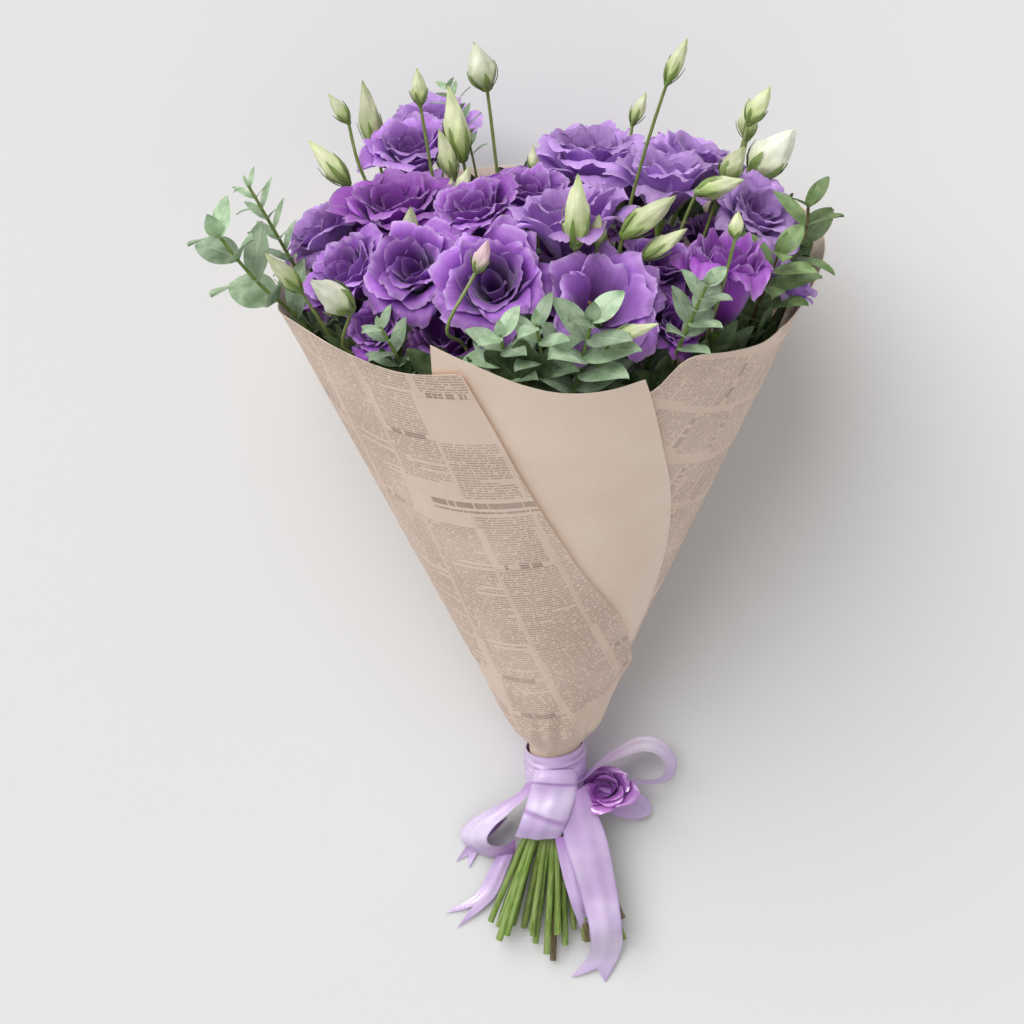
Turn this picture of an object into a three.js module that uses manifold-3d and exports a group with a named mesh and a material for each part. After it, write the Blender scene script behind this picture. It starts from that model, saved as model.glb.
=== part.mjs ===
// A hand-tied bunch of lisianthus in a paper cone, lying on its back on a flat surface.
//
// Thirteen branching flower stems and nine leafy sprigs pass through one ribbon tie. Above the tie they spread
// inside a cone of printed paper, with a plain sheet let in at the front, to a dome of open flowers and tall
// pale buds. Below the tie the cut stems fan out. The ribbon is wound round the tie, and its loops, its ends
// and a rosette of ribbon hang from there.
//
// Units are millimetres. +Z is up from the surface and +Y runs from the cut stems to the flowers.
// Places in the bunch are given as (side, front, along): side is to the right as seen from above, front is
// away from the surface, square to the bunch's own axis, and along is the distance from the tie up that axis.

import * as THREE from "three";
import { mergeVertices } from "three/addons/utils/BufferGeometryUtils.js";
import Module from "manifold-3d";

const wasm = await Module();
wasm.setup();

// Driving dimensions
const AXIS_RISE_DEG = 21.5; // the bunch's axis above the surface
const TIE_HEIGHT = 22; // centre of the tie above the surface
const CLEAR = 0.4; // gap between pieces that touch

const DEG = Math.PI / 180;
const RISE = AXIS_RISE_DEG * DEG;
const SIDE = new THREE.Vector3(1, 0, 0);
const FRONT = new THREE.Vector3(0, -Math.sin(RISE), Math.cos(RISE));
const ALONG = new THREE.Vector3(0, Math.cos(RISE), Math.sin(RISE));
const TIE = new THREE.Vector3(0, 0, TIE_HEIGHT);

// A point of the bunch, in the part's frame.
const at = (side, front, along) =>
  TIE.clone().addScaledVector(SIDE, side).addScaledVector(FRONT, front).addScaledVector(ALONG, along);

// A direction of the bunch that leans from its axis, in degrees.
const leaning = (sideDeg, frontDeg) =>
  ALONG.clone()
    .addScaledVector(SIDE, Math.tan(sideDeg * DEG))
    .addScaledVector(FRONT, Math.tan(frontDeg * DEG))
    .normalize();

const lerp = (a, b, t) => a + (b - a) * t;
const clamp01 = (t) => Math.min(1, Math.max(0, t));

// A repeatable number from 0 to 1 for each pair of whole numbers.
function chance(i, j) {
  const x = Math.sin(i * 127.1 + j * 311.7) * 43758.5453;
  return x - Math.floor(x);
}

// Value at x on the broken line through [x, y] pairs in rising x.
function alongLine(pairs, x) {
  for (let i = 1; i < pairs.length; i++) {
    if (x <= pairs[i][0]) {
      const [x0, y0] = pairs[i - 1];
      const [x1, y1] = pairs[i];
      return lerp(y0, y1, clamp01((x - x0) / (x1 - x0)));
    }
  }
  return pairs[pairs.length - 1][1];
}

// Solids

function solidFrom(points, triangles) {
  const flat = new Float32Array(points.length * 3);
  points.forEach((p, i) => flat.set([p.x, p.y, p.z], i * 3));
  const solid = new wasm.Manifold(
    new wasm.Mesh({ numProp: 3, vertProperties: flat, triVerts: new Uint32Array(triangles.flat()) }),
  );
  if (solid.volume() > 0) return solid;
  const turned = triangles.map(([a, b, c]) => [a, c, b]);
  return new wasm.Manifold(
    new wasm.Mesh({ numProp: 3, vertProperties: flat, triVerts: new Uint32Array(turned.flat()) }),
  );
}

function solidOf(geometry) {
  const bare = geometry.clone();
  bare.deleteAttribute("normal");
  bare.deleteAttribute("uv");
  const merged = mergeVertices(bare, 1e-3);
  const index = merged.index.array;
  const triangles = [];
  for (let i = 0; i < index.length; i += 3) {
    const [a, b, c] = [index[i], index[i + 1], index[i + 2]];
    if (a !== b && b !== c && c !== a) triangles.push(a, b, c);
  }
  return new wasm.Manifold(
    new wasm.Mesh({
      numProp: 3,
      vertProperties: new Float32Array(merged.attributes.position.array),
      triVerts: new Uint32Array(triangles),
    }),
  );
}

function joined(solids) {
  return wasm.Manifold.union(solids);
}

// The largest single body of a solid, so that no loose scrap stays with it.
function mainBody(solid) {
  const bodies = solid.decompose();
  return bodies.sort((a, b) => b.volume() - a.volume())[0];
}

function meshOf(name, solid, material) {
  const made = mainBody(solid).getMesh();
  const geometry = new THREE.BufferGeometry();
  geometry.setAttribute("position", new THREE.BufferAttribute(new Float32Array(made.vertProperties), 3));
  geometry.setIndex(new THREE.BufferAttribute(new Uint32Array(made.triVerts), 1));
  const mesh = new THREE.Mesh(geometry.toNonIndexed(), material);
  mesh.geometry.computeVertexNormals();
  mesh.name = name;
  return mesh;
}

// Two directions square to an axis and to each other.
function across(axis) {
  const guide = Math.abs(axis.x) < 0.9 ? new THREE.Vector3(1, 0, 0) : new THREE.Vector3(0, 1, 0);
  const first = guide.sub(axis.clone().multiplyScalar(guide.dot(axis))).normalize();
  return [first, new THREE.Vector3().crossVectors(axis, first)];
}

// A closed body through rings of points, all of the same number, with a point at each end.
function ringBody(first, rings, last) {
  const sides = rings[0].length;
  const points = [first, ...rings.flat(), last];
  const tip = points.length - 1;
  const top = tip - sides;
  const triangles = [];
  for (let i = 0; i < sides; i++) {
    const next = (i + 1) % sides;
    triangles.push([0, 1 + next, 1 + i], [top + i, top + next, tip]);
    for (let low = 1; low < top; low += sides) {
      const high = low + sides;
      triangles.push([low + i, low + next, high + next], [low + i, high + next, high + i]);
    }
  }
  return solidFrom(points, triangles);
}

// A path of straight runs between points, with a section at each point.
class Runs extends THREE.Curve {
  constructor(points) {
    super();
    this.points = points;
  }
  getPoint(t) {
    const place = t * (this.points.length - 1);
    const i = Math.min(Math.floor(place), this.points.length - 2);
    return this.points[i].clone().lerp(this.points[i + 1], place - i);
  }
  getTangent(t) {
    const last = this.points.length - 1;
    const i = Math.round(t * last);
    const here = this.points[i];
    const before = here.clone().sub(this.points[Math.max(i - 1, 0)]).normalize();
    const after = this.points[Math.min(i + 1, last)].clone().sub(here).normalize();
    return before.add(after).normalize();
  }
  getUtoTmapping(u) {
    return u;
  }
}

// A rod along straight runs through the points.
function rod(points, radius, sides) {
  const section = new THREE.Shape(
    Array.from({ length: sides }, (_, i) => {
      const turn = (2 * Math.PI * i) / sides;
      return new THREE.Vector2(radius * Math.cos(turn), radius * Math.sin(turn));
    }),
  );
  const steps = points.length - 1;
  return solidOf(
    new THREE.ExtrudeGeometry(section, { steps, bevelEnabled: false, extrudePath: new Runs(points) }),
  );
}

// A body turned about an axis through its base, pointed at both ends, with [height, radius] rings between.
function spindle(base, axis, rings, tipHeight, sides) {
  const profile = [[0, 0], ...rings, [tipHeight, 0]].map(([height, radius]) => new THREE.Vector2(radius, height));
  const geometry = new THREE.LatheGeometry(profile, sides);
  geometry.applyQuaternion(new THREE.Quaternion().setFromUnitVectors(new THREE.Vector3(0, 1, 0), axis));
  return solidOf(geometry.translate(base.x, base.y, base.z));
}

// A thin curved blade: point(u, v) is its middle surface, with u from -1 to 1 across and v from 0 to 1 up.
// Its edge is sharp and its middle is thick. Both faces are split into the same triangles.
function blade(columns, rows, thickness, point) {
  const points = [];
  const upper = [];
  const lower = [];
  for (let j = 0; j <= rows; j++) {
    for (let i = 0; i <= columns; i++) {
      const u = (2 * i) / columns - 1;
      const v = j / rows;
      const p = point(u, v);
      const edge = i === 0 || i === columns || j === 0 || j === rows;
      if (edge) {
        upper.push(points.length);
        lower.push(points.length);
        points.push(p);
        continue;
      }
      const du = point(u + 0.05, v).sub(point(u - 0.05, v));
      const dv = point(u, v + 0.02).sub(point(u, v - 0.02));
      const normal = du.cross(dv).normalize();
      upper.push(points.length);
      points.push(p.clone().addScaledVector(normal, thickness / 2));
      lower.push(points.length);
      points.push(p.clone().addScaledVector(normal, -thickness / 2));
    }
  }
  const triangles = [];
  const stride = columns + 1;
  for (let j = 0; j < rows; j++) {
    for (let i = 0; i < columns; i++) {
      const corner = j * stride + i;
      const [a, b, c, d] = [corner, corner + 1, corner + stride + 1, corner + stride];
      // The diagonal leans to the middle, so that no triangle lies wholly on the sharp edge.
      const leansLeft = i < columns / 2 === j < rows / 2;
      const split = leansLeft ? [[a, b, c], [a, c, d]] : [[a, b, d], [b, c, d]];
      for (const [p, q, r] of split) {
        triangles.push([upper[p], upper[q], upper[r]], [lower[p], lower[r], lower[q]]);
      }
    }
  }
  return solidFrom(points, triangles);
}

// A closed sheet between an outer and an inner surface over the same (u, v) grid.
function sheet(columns, rows, outer, inner) {
  const points = [];
  for (const surface of [outer, inner]) {
    for (let j = 0; j <= rows; j++) {
      for (let i = 0; i <= columns; i++) points.push(surface(i / columns, j / rows));
    }
  }
  const stride = columns + 1;
  const layer = stride * (rows + 1);
  const triangles = [];
  const quad = (a, b, c, d) => triangles.push([a, b, c], [a, c, d]);
  for (let j = 0; j < rows; j++) {
    for (let i = 0; i < columns; i++) {
      const a = j * stride + i;
      quad(a, a + 1, a + stride + 1, a + stride);
      const [p, q, r, s] = [a, a + 1, a + stride + 1, a + stride].map((k) => k + layer);
      triangles.push([p, r, q], [p, s, r]);
    }
  }
  for (let i = 0; i < columns; i++) {
    quad(i + 1, i, i + layer, i + 1 + layer);
    const top = rows * stride + i;
    quad(top, top + 1, top + 1 + layer, top + layer);
  }
  for (let j = 0; j < rows; j++) {
    const left = j * stride;
    quad(left, left + stride, left + stride + layer, left + layer);
    const right = left + columns;
    quad(right + stride, right, right + layer, right + stride + layer);
  }
  return solidFrom(points, triangles);
}

// Materials

const look = (color, roughness, metalness = 0) => new THREE.MeshStandardMaterial({ color, roughness, metalness });
const petalLook = look(0x7a3fb8, 0.6);
const stemLook = look(0x7f9a55, 0.55);
const leafLook = look(0x6f8f6c, 0.6);
const paperLook = look(0xc9b09b, 0.85);
const plainPaperLook = look(0xd9c2ac, 0.85);
const ribbonLook = look(0xcdb4e2, 0.3);
const rosetteLook = look(0x9a50b4, 0.3);

// Paper

const PAPER_THICK = 0.8;
const LAYER_STEP = 2; // between the layers where the paper laps over itself
const NECK_PAPER_RADIUS = 14.6;
const NECK_TOP = 24.5; // the paper starts to flare here
const FLARE_START = 42; // the full cone starts here
const CONE_RADIUS = 12; // the cone's radius carried down to the tie
const CONE_FLARE = 0.432; // radius gained for each millimetre along the axis
const CONE_NARROW = 3.5; // the cone is this much narrower at its sides than at its front
const CONE_VEER = 0.009; // how far the cone leans to the right for each millimetre along the axis
const PAPER_FOOT = -10;
const PRESS_HEIGHT = 2.6; // paper that comes this near to the surface lies flat on it

function coneRadius(angleDeg, along) {
  const radius = alongLine(
    [
      [NECK_TOP, NECK_PAPER_RADIUS],
      [FLARE_START, CONE_RADIUS + CONE_FLARE * FLARE_START],
      [500, CONE_RADIUS + CONE_FLARE * 500],
    ],
    along,
  );
  const narrowed = CONE_NARROW * clamp01((along - NECK_TOP) / (FLARE_START - NECK_TOP));
  return radius - narrowed * Math.sin(angleDeg * DEG) ** 2;
}
const coneVeer = (along) => CONE_VEER * Math.max(0, along - NECK_TOP);

// A point of a sheet at an angle round the axis, 0 at the front and 90 at the right, in a layer and on its
// outer or inner face.
function paperPoint(angleDeg, along, layer, outer) {
  const angle = angleDeg * DEG;
  const place = (radius) => at(coneVeer(along) + radius * Math.sin(angle), radius * Math.cos(angle), along);
  const middle = coneRadius(angleDeg, along) + layer;
  const p = place(middle + (outer ? 0.5 : -0.5) * PAPER_THICK);
  if (place(middle).z < PRESS_HEIGHT) p.z = outer ? 0 : PAPER_THICK;
  return p;
}

// Rows of the paper: the first ones are the same all round, and the rest share out the way to the top edge.
const NECK_ROWS = [PAPER_FOOT, NECK_TOP, FLARE_START];
const CONE_ROWS = 3;
const PAPER_ROWS = NECK_ROWS.length - 1 + CONE_ROWS;
function paperRow(v, top) {
  const row = Math.round(v * PAPER_ROWS);
  if (row < NECK_ROWS.length) return NECK_ROWS[row];
  return lerp(FLARE_START, top, (row - NECK_ROWS.length + 1) / CONE_ROWS);
}

// The top edge of each sheet as [angle, along]. The last part of the printed sheet's edge runs down and round
// to the right, over the plain sheet and over its own beginning.
const WRAP_EDGE = [
  [8, 318], [20, 325], [28, 344], [39, 338], [53, 331], [64, 335], [90, 352], [135, 350], [180, 346],
  [225, 346], [270, 332], [301, 348], [316, 345], [330, 342], [343, 348], [346, 325], [355, 269], [363, 229],
  [373, 189], [393, 147], [412, 110], [430, 84],
];
const WRAP_INNER_UNTIL = 60; // up to this angle the sheet is in the inner layer
const WRAP_OUTER_FROM = 320; // and from this one on in the outer layer
const WRAP_TOP_CORNER = 343;
const PANEL_EDGE = [
  [-38, 328], [-25, 336], [-22, 365], [-14, 353], [-5, 340], [2, 334], [10, 333], [18, 337], [27, 280],
  [34, 245], [44, 191], [52, 135],
];

// Angles of a sheet's columns: each corner of its edge, and steps no wider than the widest between them.
function paperColumns(edge, widest) {
  const angles = [edge[0][0]];
  for (let i = 1; i < edge.length; i++) {
    const [from, to] = [edge[i - 1][0], edge[i][0]];
    const parts = Math.ceil((to - from) / widest);
    for (let k = 1; k <= parts; k++) angles.push(lerp(from, to, k / parts));
  }
  return angles;
}

function paperSheet(edge, widest, layerAt) {
  const angles = paperColumns(edge, widest);
  const columns = angles.length - 1;
  const surface = (outer) => (u, v) => {
    const angle = angles[Math.round(u * columns)];
    return paperPoint(angle, paperRow(v, alongLine(edge, angle)), layerAt(angle), outer);
  };
  return sheet(columns, PAPER_ROWS, surface(true), surface(false));
}

const paperWrap = paperSheet(WRAP_EDGE, 11.5, (angle) =>
  lerp(-LAYER_STEP, LAYER_STEP, clamp01((angle - WRAP_INNER_UNTIL) / (WRAP_OUTER_FROM - WRAP_INNER_UNTIL))),
);
const paperPanel = paperSheet(PANEL_EDGE, 10, () => 0);

// Open flowers: the middle of the face, the radius, how the axis leans from the bunch's own, how far the
// flower is open, and its depth over its radius. They are listed from the front of the bunch to the back.
const bloom = (side, front, along, radius, leanSide, leanFront, open, deep = 1.3) => {
  const axis = leaning(leanSide, leanFront);
  const depth = radius * deep;
  const base = at(side, front, along).addScaledVector(axis, -depth);
  return { side, front, axis, radius, depth, base, open, turn: 360 * chance(side, front) };
};
const BLOOMS = [
  bloom(-28, 118, 385, 28, -8, 46, 0.9),
  bloom(32, 122, 373, 28, 10, 48, 1),
  bloom(-72, 90, 385, 25, -18, 38, 0.8),
  bloom(72, 109, 353, 16, 30, 40, 0.4),
  bloom(100, 94, 391, 22, 8, -4, 0.3, 1.8),
  bloom(-112, 64, 375, 24, -34, 20, 0.5),
  bloom(-94, 98, 352, 15, -30, 40, 0.4),
  bloom(15, 70, 411, 29, -8, -10, 0.5, 1.45),
  bloom(-38, 50, 404, 23, -14, 12, 0.6),
  bloom(126, 26, 386, 23, 30, 24, 0.7),
  bloom(66, 64, 372, 18, 8, 20, 0.5),
  bloom(-81, 20, 399, 30, -6, 26, 1),
  bloom(-5, 14, 399, 22, 0, 10, 0.5),
  bloom(74, -4, 403, 26, 8, -4, 0.7, 1.4),
  bloom(-129, -6, 374, 23, -38, 4, 0.6),
  bloom(143, 54, 352, 15, 46, 16, 0.4),
  bloom(32, -40, 405, 30, 2, 0, 0.9),
  bloom(97, -60, 391, 25, 20, -6, 0.7),
  bloom(-74, -44, 408, 24, -8, -4, 0.8),
  bloom(-62, -98, 402, 22, -12, -16, 0.6),
  bloom(-22, -62, 372, 24, 0, -10, 0.6),
  bloom(6, -108, 362, 24, 0, -26, 0.6),
  bloom(64, -104, 366, 23, 14, -24, 0.6),
  bloom(-116, -60, 365, 22, -32, -16, 0.6),
];

// Radius and height of a petal's middle line from the tube's mouth to the rim, as shares of the flower's
// radius and depth. An open flower rolls its rim out and down.
function petalLine(v, open, reach) {
  const radius = reach * (0.2 + 0.8 * Math.pow(v, 1.25 - 0.5 * open));
  const rise = Math.sin(Math.min(1, v * (1 + 0.12 * open)) * 0.5 * Math.PI);
  return [radius, 0.12 + 0.88 * rise * (1 - 0.17 * open * v * v)];
}

const PETAL_THICK = 1.1;
const PETAL_SPREAD = [[0.3, 0.78], [0.7, 1], [1, 0.72]]; // width at a share of the height, over the widest

// A flower as one closed body: a tube with a ring of outer petals at its mouth, and a smaller ring of inner
// petals on its floor round the pistil. A petal is thick in the middle and sharp at the edges, and its right
// edge lies outside the next petal's left edge.
function flowerSolid(flower, outerCount, innerCount) {
  const [e1, e2] = across(flower.axis);
  const points = [];
  const triangles = [];
  const add = (angleDeg, [radius, height]) => {
    const angle = (angleDeg + flower.turn) * DEG;
    points.push(
      flower.base
        .clone()
        .addScaledVector(flower.axis, height)
        .addScaledVector(e1, radius * Math.cos(angle))
        .addScaledVector(e2, radius * Math.sin(angle)),
    );
    return points.length - 1;
  };

  // Adds a ring of petals, and returns the ring of points round its outside foot and round its inside foot.
  function petals({ count, half, open, reach, tall, rows, lap }) {
    const line = (v) => {
      const [r, h] = petalLine(v, open, reach);
      return new THREE.Vector2(flower.radius * r, flower.depth * tall * h);
    };
    // The place at a height, moved out of the petal's face by the offset and down by the drop.
    const place = (v, offset, drop) => {
      const way = line(Math.min(1, v + 0.02)).sub(line(Math.max(0, v - 0.02))).normalize();
      const p = line(v);
      return [p.x + offset * way.y, p.y - offset * way.x - drop];
    };
    const pitch = 360 / count;
    const corners = Array.from({ length: count }, (_, k) => add(k * pitch, place(0, 0, 0)));
    const outerFoot = [];
    const innerFoot = [];
    for (let k = 0; k < count; k++) {
      const middle = (k + 0.5) * pitch;
      let below = {
        left: corners[k],
        right: corners[(k + 1) % count],
        outside: add(middle, place(0, PETAL_THICK / 2, 0)),
        inside: add(middle, place(0, -PETAL_THICK / 2, 0)),
      };
      outerFoot.push(below.left, below.outside);
      innerFoot.push(below.left, below.inside);
      for (let row = 1; row <= rows; row++) {
        const v = row / rows;
        const spread = half * alongLine(PETAL_SPREAD, v);
        const drop = 0.14 * v * v * tall * flower.depth;
        const thick = row < rows ? PETAL_THICK / 2 : 0;
        const outside = add(middle, place(v, thick, 0));
        const here = {
          left: add(middle - spread, place(v, -lap * flower.radius, drop)),
          right: add(middle + spread, place(v, lap * flower.radius, drop)),
          outside,
          inside: row < rows ? add(middle, place(v, -thick, 0)) : outside,
        };
        triangles.push(
          [below.left, below.outside, here.left],
          [below.outside, here.outside, here.left],
          [below.outside, below.right, here.right],
          [below.outside, here.right, here.outside],
          [below.left, here.left, below.inside],
          [below.inside, here.left, here.inside],
          [below.inside, here.right, below.right],
          [below.inside, here.inside, here.right],
        );
        below = here;
      }
    }
    return [outerFoot, innerFoot];
  }

  const [tube, mouth] = petals({
    count: outerCount, half: 210 / outerCount, open: flower.open, reach: 1, tall: 1, rows: 3, lap: 0.09,
  });
  const [floor, heart] = petals({
    count: innerCount, half: 160 / innerCount, open: 0, reach: 0.5, tall: 0.9, rows: 2, lap: 0,
  });
  const foot = add(0, [0, 0]);
  const pistil = add(0, [0, 0.5 * flower.depth]);
  tube.forEach((p, i) => triangles.push([foot, tube[(i + 1) % tube.length], p]));
  heart.forEach((p, i) => triangles.push([p, heart[(i + 1) % heart.length], pistil]));
  for (let i = 0, j = 0; i < mouth.length || j < floor.length; ) {
    const onFloor = floor[j % floor.length];
    if ((i + 1) / mouth.length <= (j + 1) / floor.length) {
      triangles.push([mouth[i], mouth[(i + 1) % mouth.length], onFloor]);
      i++;
    } else {
      triangles.push([onFloor, mouth[i % mouth.length], floor[(j + 1) % floor.length]]);
      j++;
    }
  }
  return solidFrom(points, triangles);
}

// Keeps a path off the open flowers: each flower is read as a cup that widens from its base.
function clearOfBlooms(p, margin) {
  for (const bloom of BLOOMS) {
    const offset = p.clone().sub(bloom.base);
    const height = offset.dot(bloom.axis);
    if (height < -3 || height > bloom.depth + margin) continue;
    const away = offset.addScaledVector(bloom.axis, -height);
    const share = clamp01(height / bloom.depth);
    const cup = bloom.radius * (0.14 + 0.98 * Math.pow(share, 1.05)) + margin;
    const distance = away.length();
    if (distance < cup) p.addScaledVector(away.normalize(), (cup - distance) * 0.6);
  }
}

// Keeps a point inside the paper where it is below the rim.
function holdInPaper(p, margin) {
  const from = p.clone().sub(TIE);
  const along = from.dot(ALONG);
  const side = from.dot(SIDE) - coneVeer(along);
  const front = from.dot(FRONT);
  const angle = (Math.atan2(side, front) / DEG + 360) % 360;
  if (along > alongLine(WRAP_EDGE, Math.min(angle, WRAP_TOP_CORNER)) + margin) return;
  const reach = Math.hypot(side, front);
  const excess = reach - (coneRadius(angle, along) - LAYER_STEP - margin);
  if (excess > 0) p.addScaledVector(SIDE, (-excess * side) / reach).addScaledVector(FRONT, (-excess * front) / reach);
}

const LAST_STRAIGHT = 24; // how long a shoot runs along its flower's axis, at most
// A smooth path from a fork to a point near the top, which leaves the fork to its own side and bends round
// the flowers.
function route(from, heading, to, endAxis, margin, count) {
  const way = to.clone().sub(from);
  const reach = way.length();
  const aside = way.addScaledVector(heading, -way.dot(heading)).normalize();
  const after = from.clone().addScaledVector(heading, 0.3 * reach).addScaledVector(aside, 0.16 * reach);
  const before = to.clone().addScaledVector(endAxis, -Math.min(LAST_STRAIGHT, 0.3 * reach));
  const points = new THREE.CubicBezierCurve3(from, after, before, to).getPoints(count - 1);
  for (let pass = 0; pass < 24; pass++) {
    for (let i = 1; i < count - 1; i++) {
      clearOfBlooms(points[i], margin);
      holdInPaper(points[i], margin);
      if (pass < 18) points[i].lerp(points[i - 1].clone().add(points[i + 1]).multiplyScalar(0.5), 0.12);
    }
  }
  return points;
}

// Flower stems: each carries some flowers and, on side shoots, some buds. A bud has the place of its middle,
// its lean, its length and its width.
const bud = (side, front, along, leanSide, leanFront, length, width) => ({
  middle: at(side, front, along),
  axis: leaning(leanSide, leanFront),
  length,
  width,
});
const FLOWER_STEMS = [
  { blooms: [0], buds: [bud(-32, 134, 404, 20, 20, 22, 9)] },
  {
    blooms: [1, 3],
    buds: [bud(19, 106, 416, 4, 8, 43, 14), bud(30, 98, 402, 4, 6, 18, 9), bud(46, 152, 366, 70, 20, 26, 8)],
  },
  { blooms: [2, 6], buds: [bud(-72, 56, 389, 5, 10, 30, 13)] },
  {
    blooms: [4],
    buds: [bud(57, 98, 409, 50, 8, 36, 14), bud(66, 96, 392, 56, 6, 28, 10), bud(102, 123, 412, 4, 6, 15, 8)],
  },
  { blooms: [5], buds: [bud(-114, 108, 374, -44, 20, 30, 17), bud(-140, 92, 382, -34, 12, 30, 10)] },
  { blooms: [7, 12], buds: [bud(-2, -14, 403, -2, 0, 16, 6)] },
  { blooms: [8], buds: [bud(-49, 12, 394, 4, 4, 18, 7), bud(-42, 22, 402, 20, 4, 24, 9)] },
  {
    blooms: [10, 13],
    buds: [bud(99, 52, 407, 76, 2, 26, 12), bud(110, 14, 406, 30, 2, 22, 13), bud(77, 36, 474, 24, 0, 27, 9)],
  },
  { blooms: [9, 15], buds: [bud(134, -6, 404, 40, 2, 36, 22), bud(128, -28, 425, 28, 2, 25, 11)] },
  { blooms: [11, 14], buds: [bud(-119, -22, 402, -38, 0, 34, 12), bud(-112, -36, 430, -30, 0, 20, 8)] },
  { blooms: [18, 19, 23], buds: [bud(-97, -78, 410, -9, -4, 42, 13), bud(-65, -18, 447, -1, 0, 21, 9)] },
  {
    blooms: [16, 20],
    buds: [bud(-45, -10, 427, -8, 0, 44, 14), bud(-51, 0, 413, -14, 2, 30, 10), bud(-30, -20, 457, -14, 0, 28, 16)],
  },
  { blooms: [17, 21, 22], buds: [bud(62, -74, 410, 24, -6, 20, 8), bud(124, -54, 408, 2, -4, 24, 11)] },
];

// Leafy sprigs round the rim: the tip's place, the pairs of leaves down from it, and the leaves' size.
const SPRIGS = [
  { side: 24, front: 154, along: 374, pairs: 4, leaf: 27, width: 13, spacing: 10 },
  { side: -24, front: 150, along: 366, pairs: 4, leaf: 22, width: 10, spacing: 9 },
  { side: -5, front: 152, along: 372, pairs: 3, leaf: 24, width: 9, spacing: 12 },
  { side: -178, front: 48, along: 388, pairs: 4, leaf: 31, width: 17, spacing: 14 },
  { side: -162, front: 20, along: 406, pairs: 6, leaf: 18, width: 5, spacing: 7.5 },
  { side: 150, front: 34, along: 388, pairs: 4, leaf: 28, width: 11, spacing: 11 },
  { side: 130, front: 74, along: 376, pairs: 4, leaf: 26, width: 13, spacing: 11 },
  { side: 86, front: 134, along: 384, pairs: 3, leaf: 19, width: 10, spacing: 8 },
  { side: -88, front: 124, along: 362, pairs: 3, leaf: 17, width: 8, spacing: 8 },
];

const STEM_RADIUS = 2;
const SPRIG_RADIUS = 1.9;
const SHOOT_RADIUS = 1.5;
const STALK_RADIUS = 1.1;
const SHOOT_STEP = 8;
const SHOOT_MARGIN = 5; // between a shoot's middle line and what it passes
const FORK_ALONG = 240;
const FLOWER_HEIGHT = 398;

const meanOf = (values) => values.reduce((a, b) => a + b, 0) / values.length;
const flowerTargets = FLOWER_STEMS.map((stem) => ({
  side: meanOf(stem.blooms.map((k) => BLOOMS[k].side)),
  front: meanOf(stem.blooms.map((k) => BLOOMS[k].front)),
}));
const allTargets = [...flowerTargets, ...SPRIGS.map(({ side, front }) => ({ side, front }))];

// Stems pack in rings inside the tie, in the order in which they spread above it.
const SLOT_RINGS = [{ count: 1, radius: 0 }, { count: 7, radius: 5 }, { count: 14, radius: 9.8 }];
function tieSlots(targets) {
  const side = meanOf(targets.map((t) => t.side));
  const front = meanOf(targets.map((t) => t.front));
  const order = targets
    .map((t, index) => ({
      index,
      reach: Math.hypot(t.side - side, t.front - front),
      angle: Math.atan2(t.side - side, t.front - front),
    }))
    .sort((a, b) => a.reach - b.reach);
  const slots = [];
  for (const { count, radius } of SLOT_RINGS) {
    const ring = order.splice(0, count).sort((a, b) => a.angle - b.angle);
    const step = (2 * Math.PI) / ring.length;
    const sum = ring.reduce(
      (s, stem, i) => s.add(new THREE.Vector2(Math.cos(stem.angle - i * step), Math.sin(stem.angle - i * step))),
      new THREE.Vector2(),
    );
    ring.forEach((stem, i) => {
      const angle = sum.angle() + i * step;
      slots[stem.index] = { side: radius * Math.sin(angle), front: radius * Math.cos(angle) };
    });
  }
  return slots;
}
const SLOTS = tieSlots(allTargets);
const TIE_REACH = SLOT_RINGS[2].radius;

// Below the tie the stems fan out to the sides and come down to lie on the surface.
const END_SPREAD = 4.1;
const END_STEEP = 0.9;
const TIE_FOOT = -14;
function stemFoot(index, radius) {
  const slot = SLOTS[index];
  const height = radius + 0.3 + END_STEEP * (slot.front + TIE_REACH);
  const side = END_SPREAD * slot.side + 2 * (chance(index, 8) - 0.5);
  const end = new THREE.Vector3(side, -94 - 20 * chance(index, 5), height);
  const tie = at(slot.side, slot.front, TIE_FOOT - 8);
  const middle = tie.clone().lerp(end, 0.5);
  middle.z = lerp(tie.z, end.z, 0.62);
  return [end, middle];
}

// Points of a main stem from its cut end to where it forks.
function mainStem(index, radius, fork) {
  const slot = SLOTS[index];
  const low = at(slot.side, slot.front, TIE_FOOT);
  const high = at(slot.side, slot.front, NECK_TOP);
  return [...stemFoot(index, radius), low, high, fork];
}

// A leaf: a flat body, pointed at both ends, that arches over. It starts inside what it grows from.
const LEAF_THICK = 1.2;
function leafSolid(base, direction, up, length, width) {
  const sideways = new THREE.Vector3().crossVectors(direction, up).normalize();
  const lifted = new THREE.Vector3().crossVectors(sideways, direction).normalize();
  const middle = (v) =>
    base
      .clone()
      .addScaledVector(direction, length * v)
      .addScaledVector(lifted, 0.1 * length * (v - v * v * 1.6));
  const section = (v, share) => {
    const half = 0.5 * width * share;
    const raised = middle(v).addScaledVector(lifted, 0.25 * half);
    return [
      raised.clone().addScaledVector(sideways, -half),
      middle(v).addScaledVector(lifted, -LEAF_THICK / 2),
      raised.clone().addScaledVector(sideways, half),
      middle(v).addScaledVector(lifted, LEAF_THICK / 2),
    ];
  };
  return ringBody(middle(0), [section(0.34, 0.96), section(0.7, 0.82)], middle(1));
}

function budSolid(base, axis, length, width) {
  return spindle(
    base.clone().addScaledVector(axis, -1.5),
    axis,
    [[2, 0.24 * width], [0.32 * length, 0.5 * width], [0.64 * length, 0.36 * width]],
    length + 1.5,
    5,
  );
}

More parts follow.
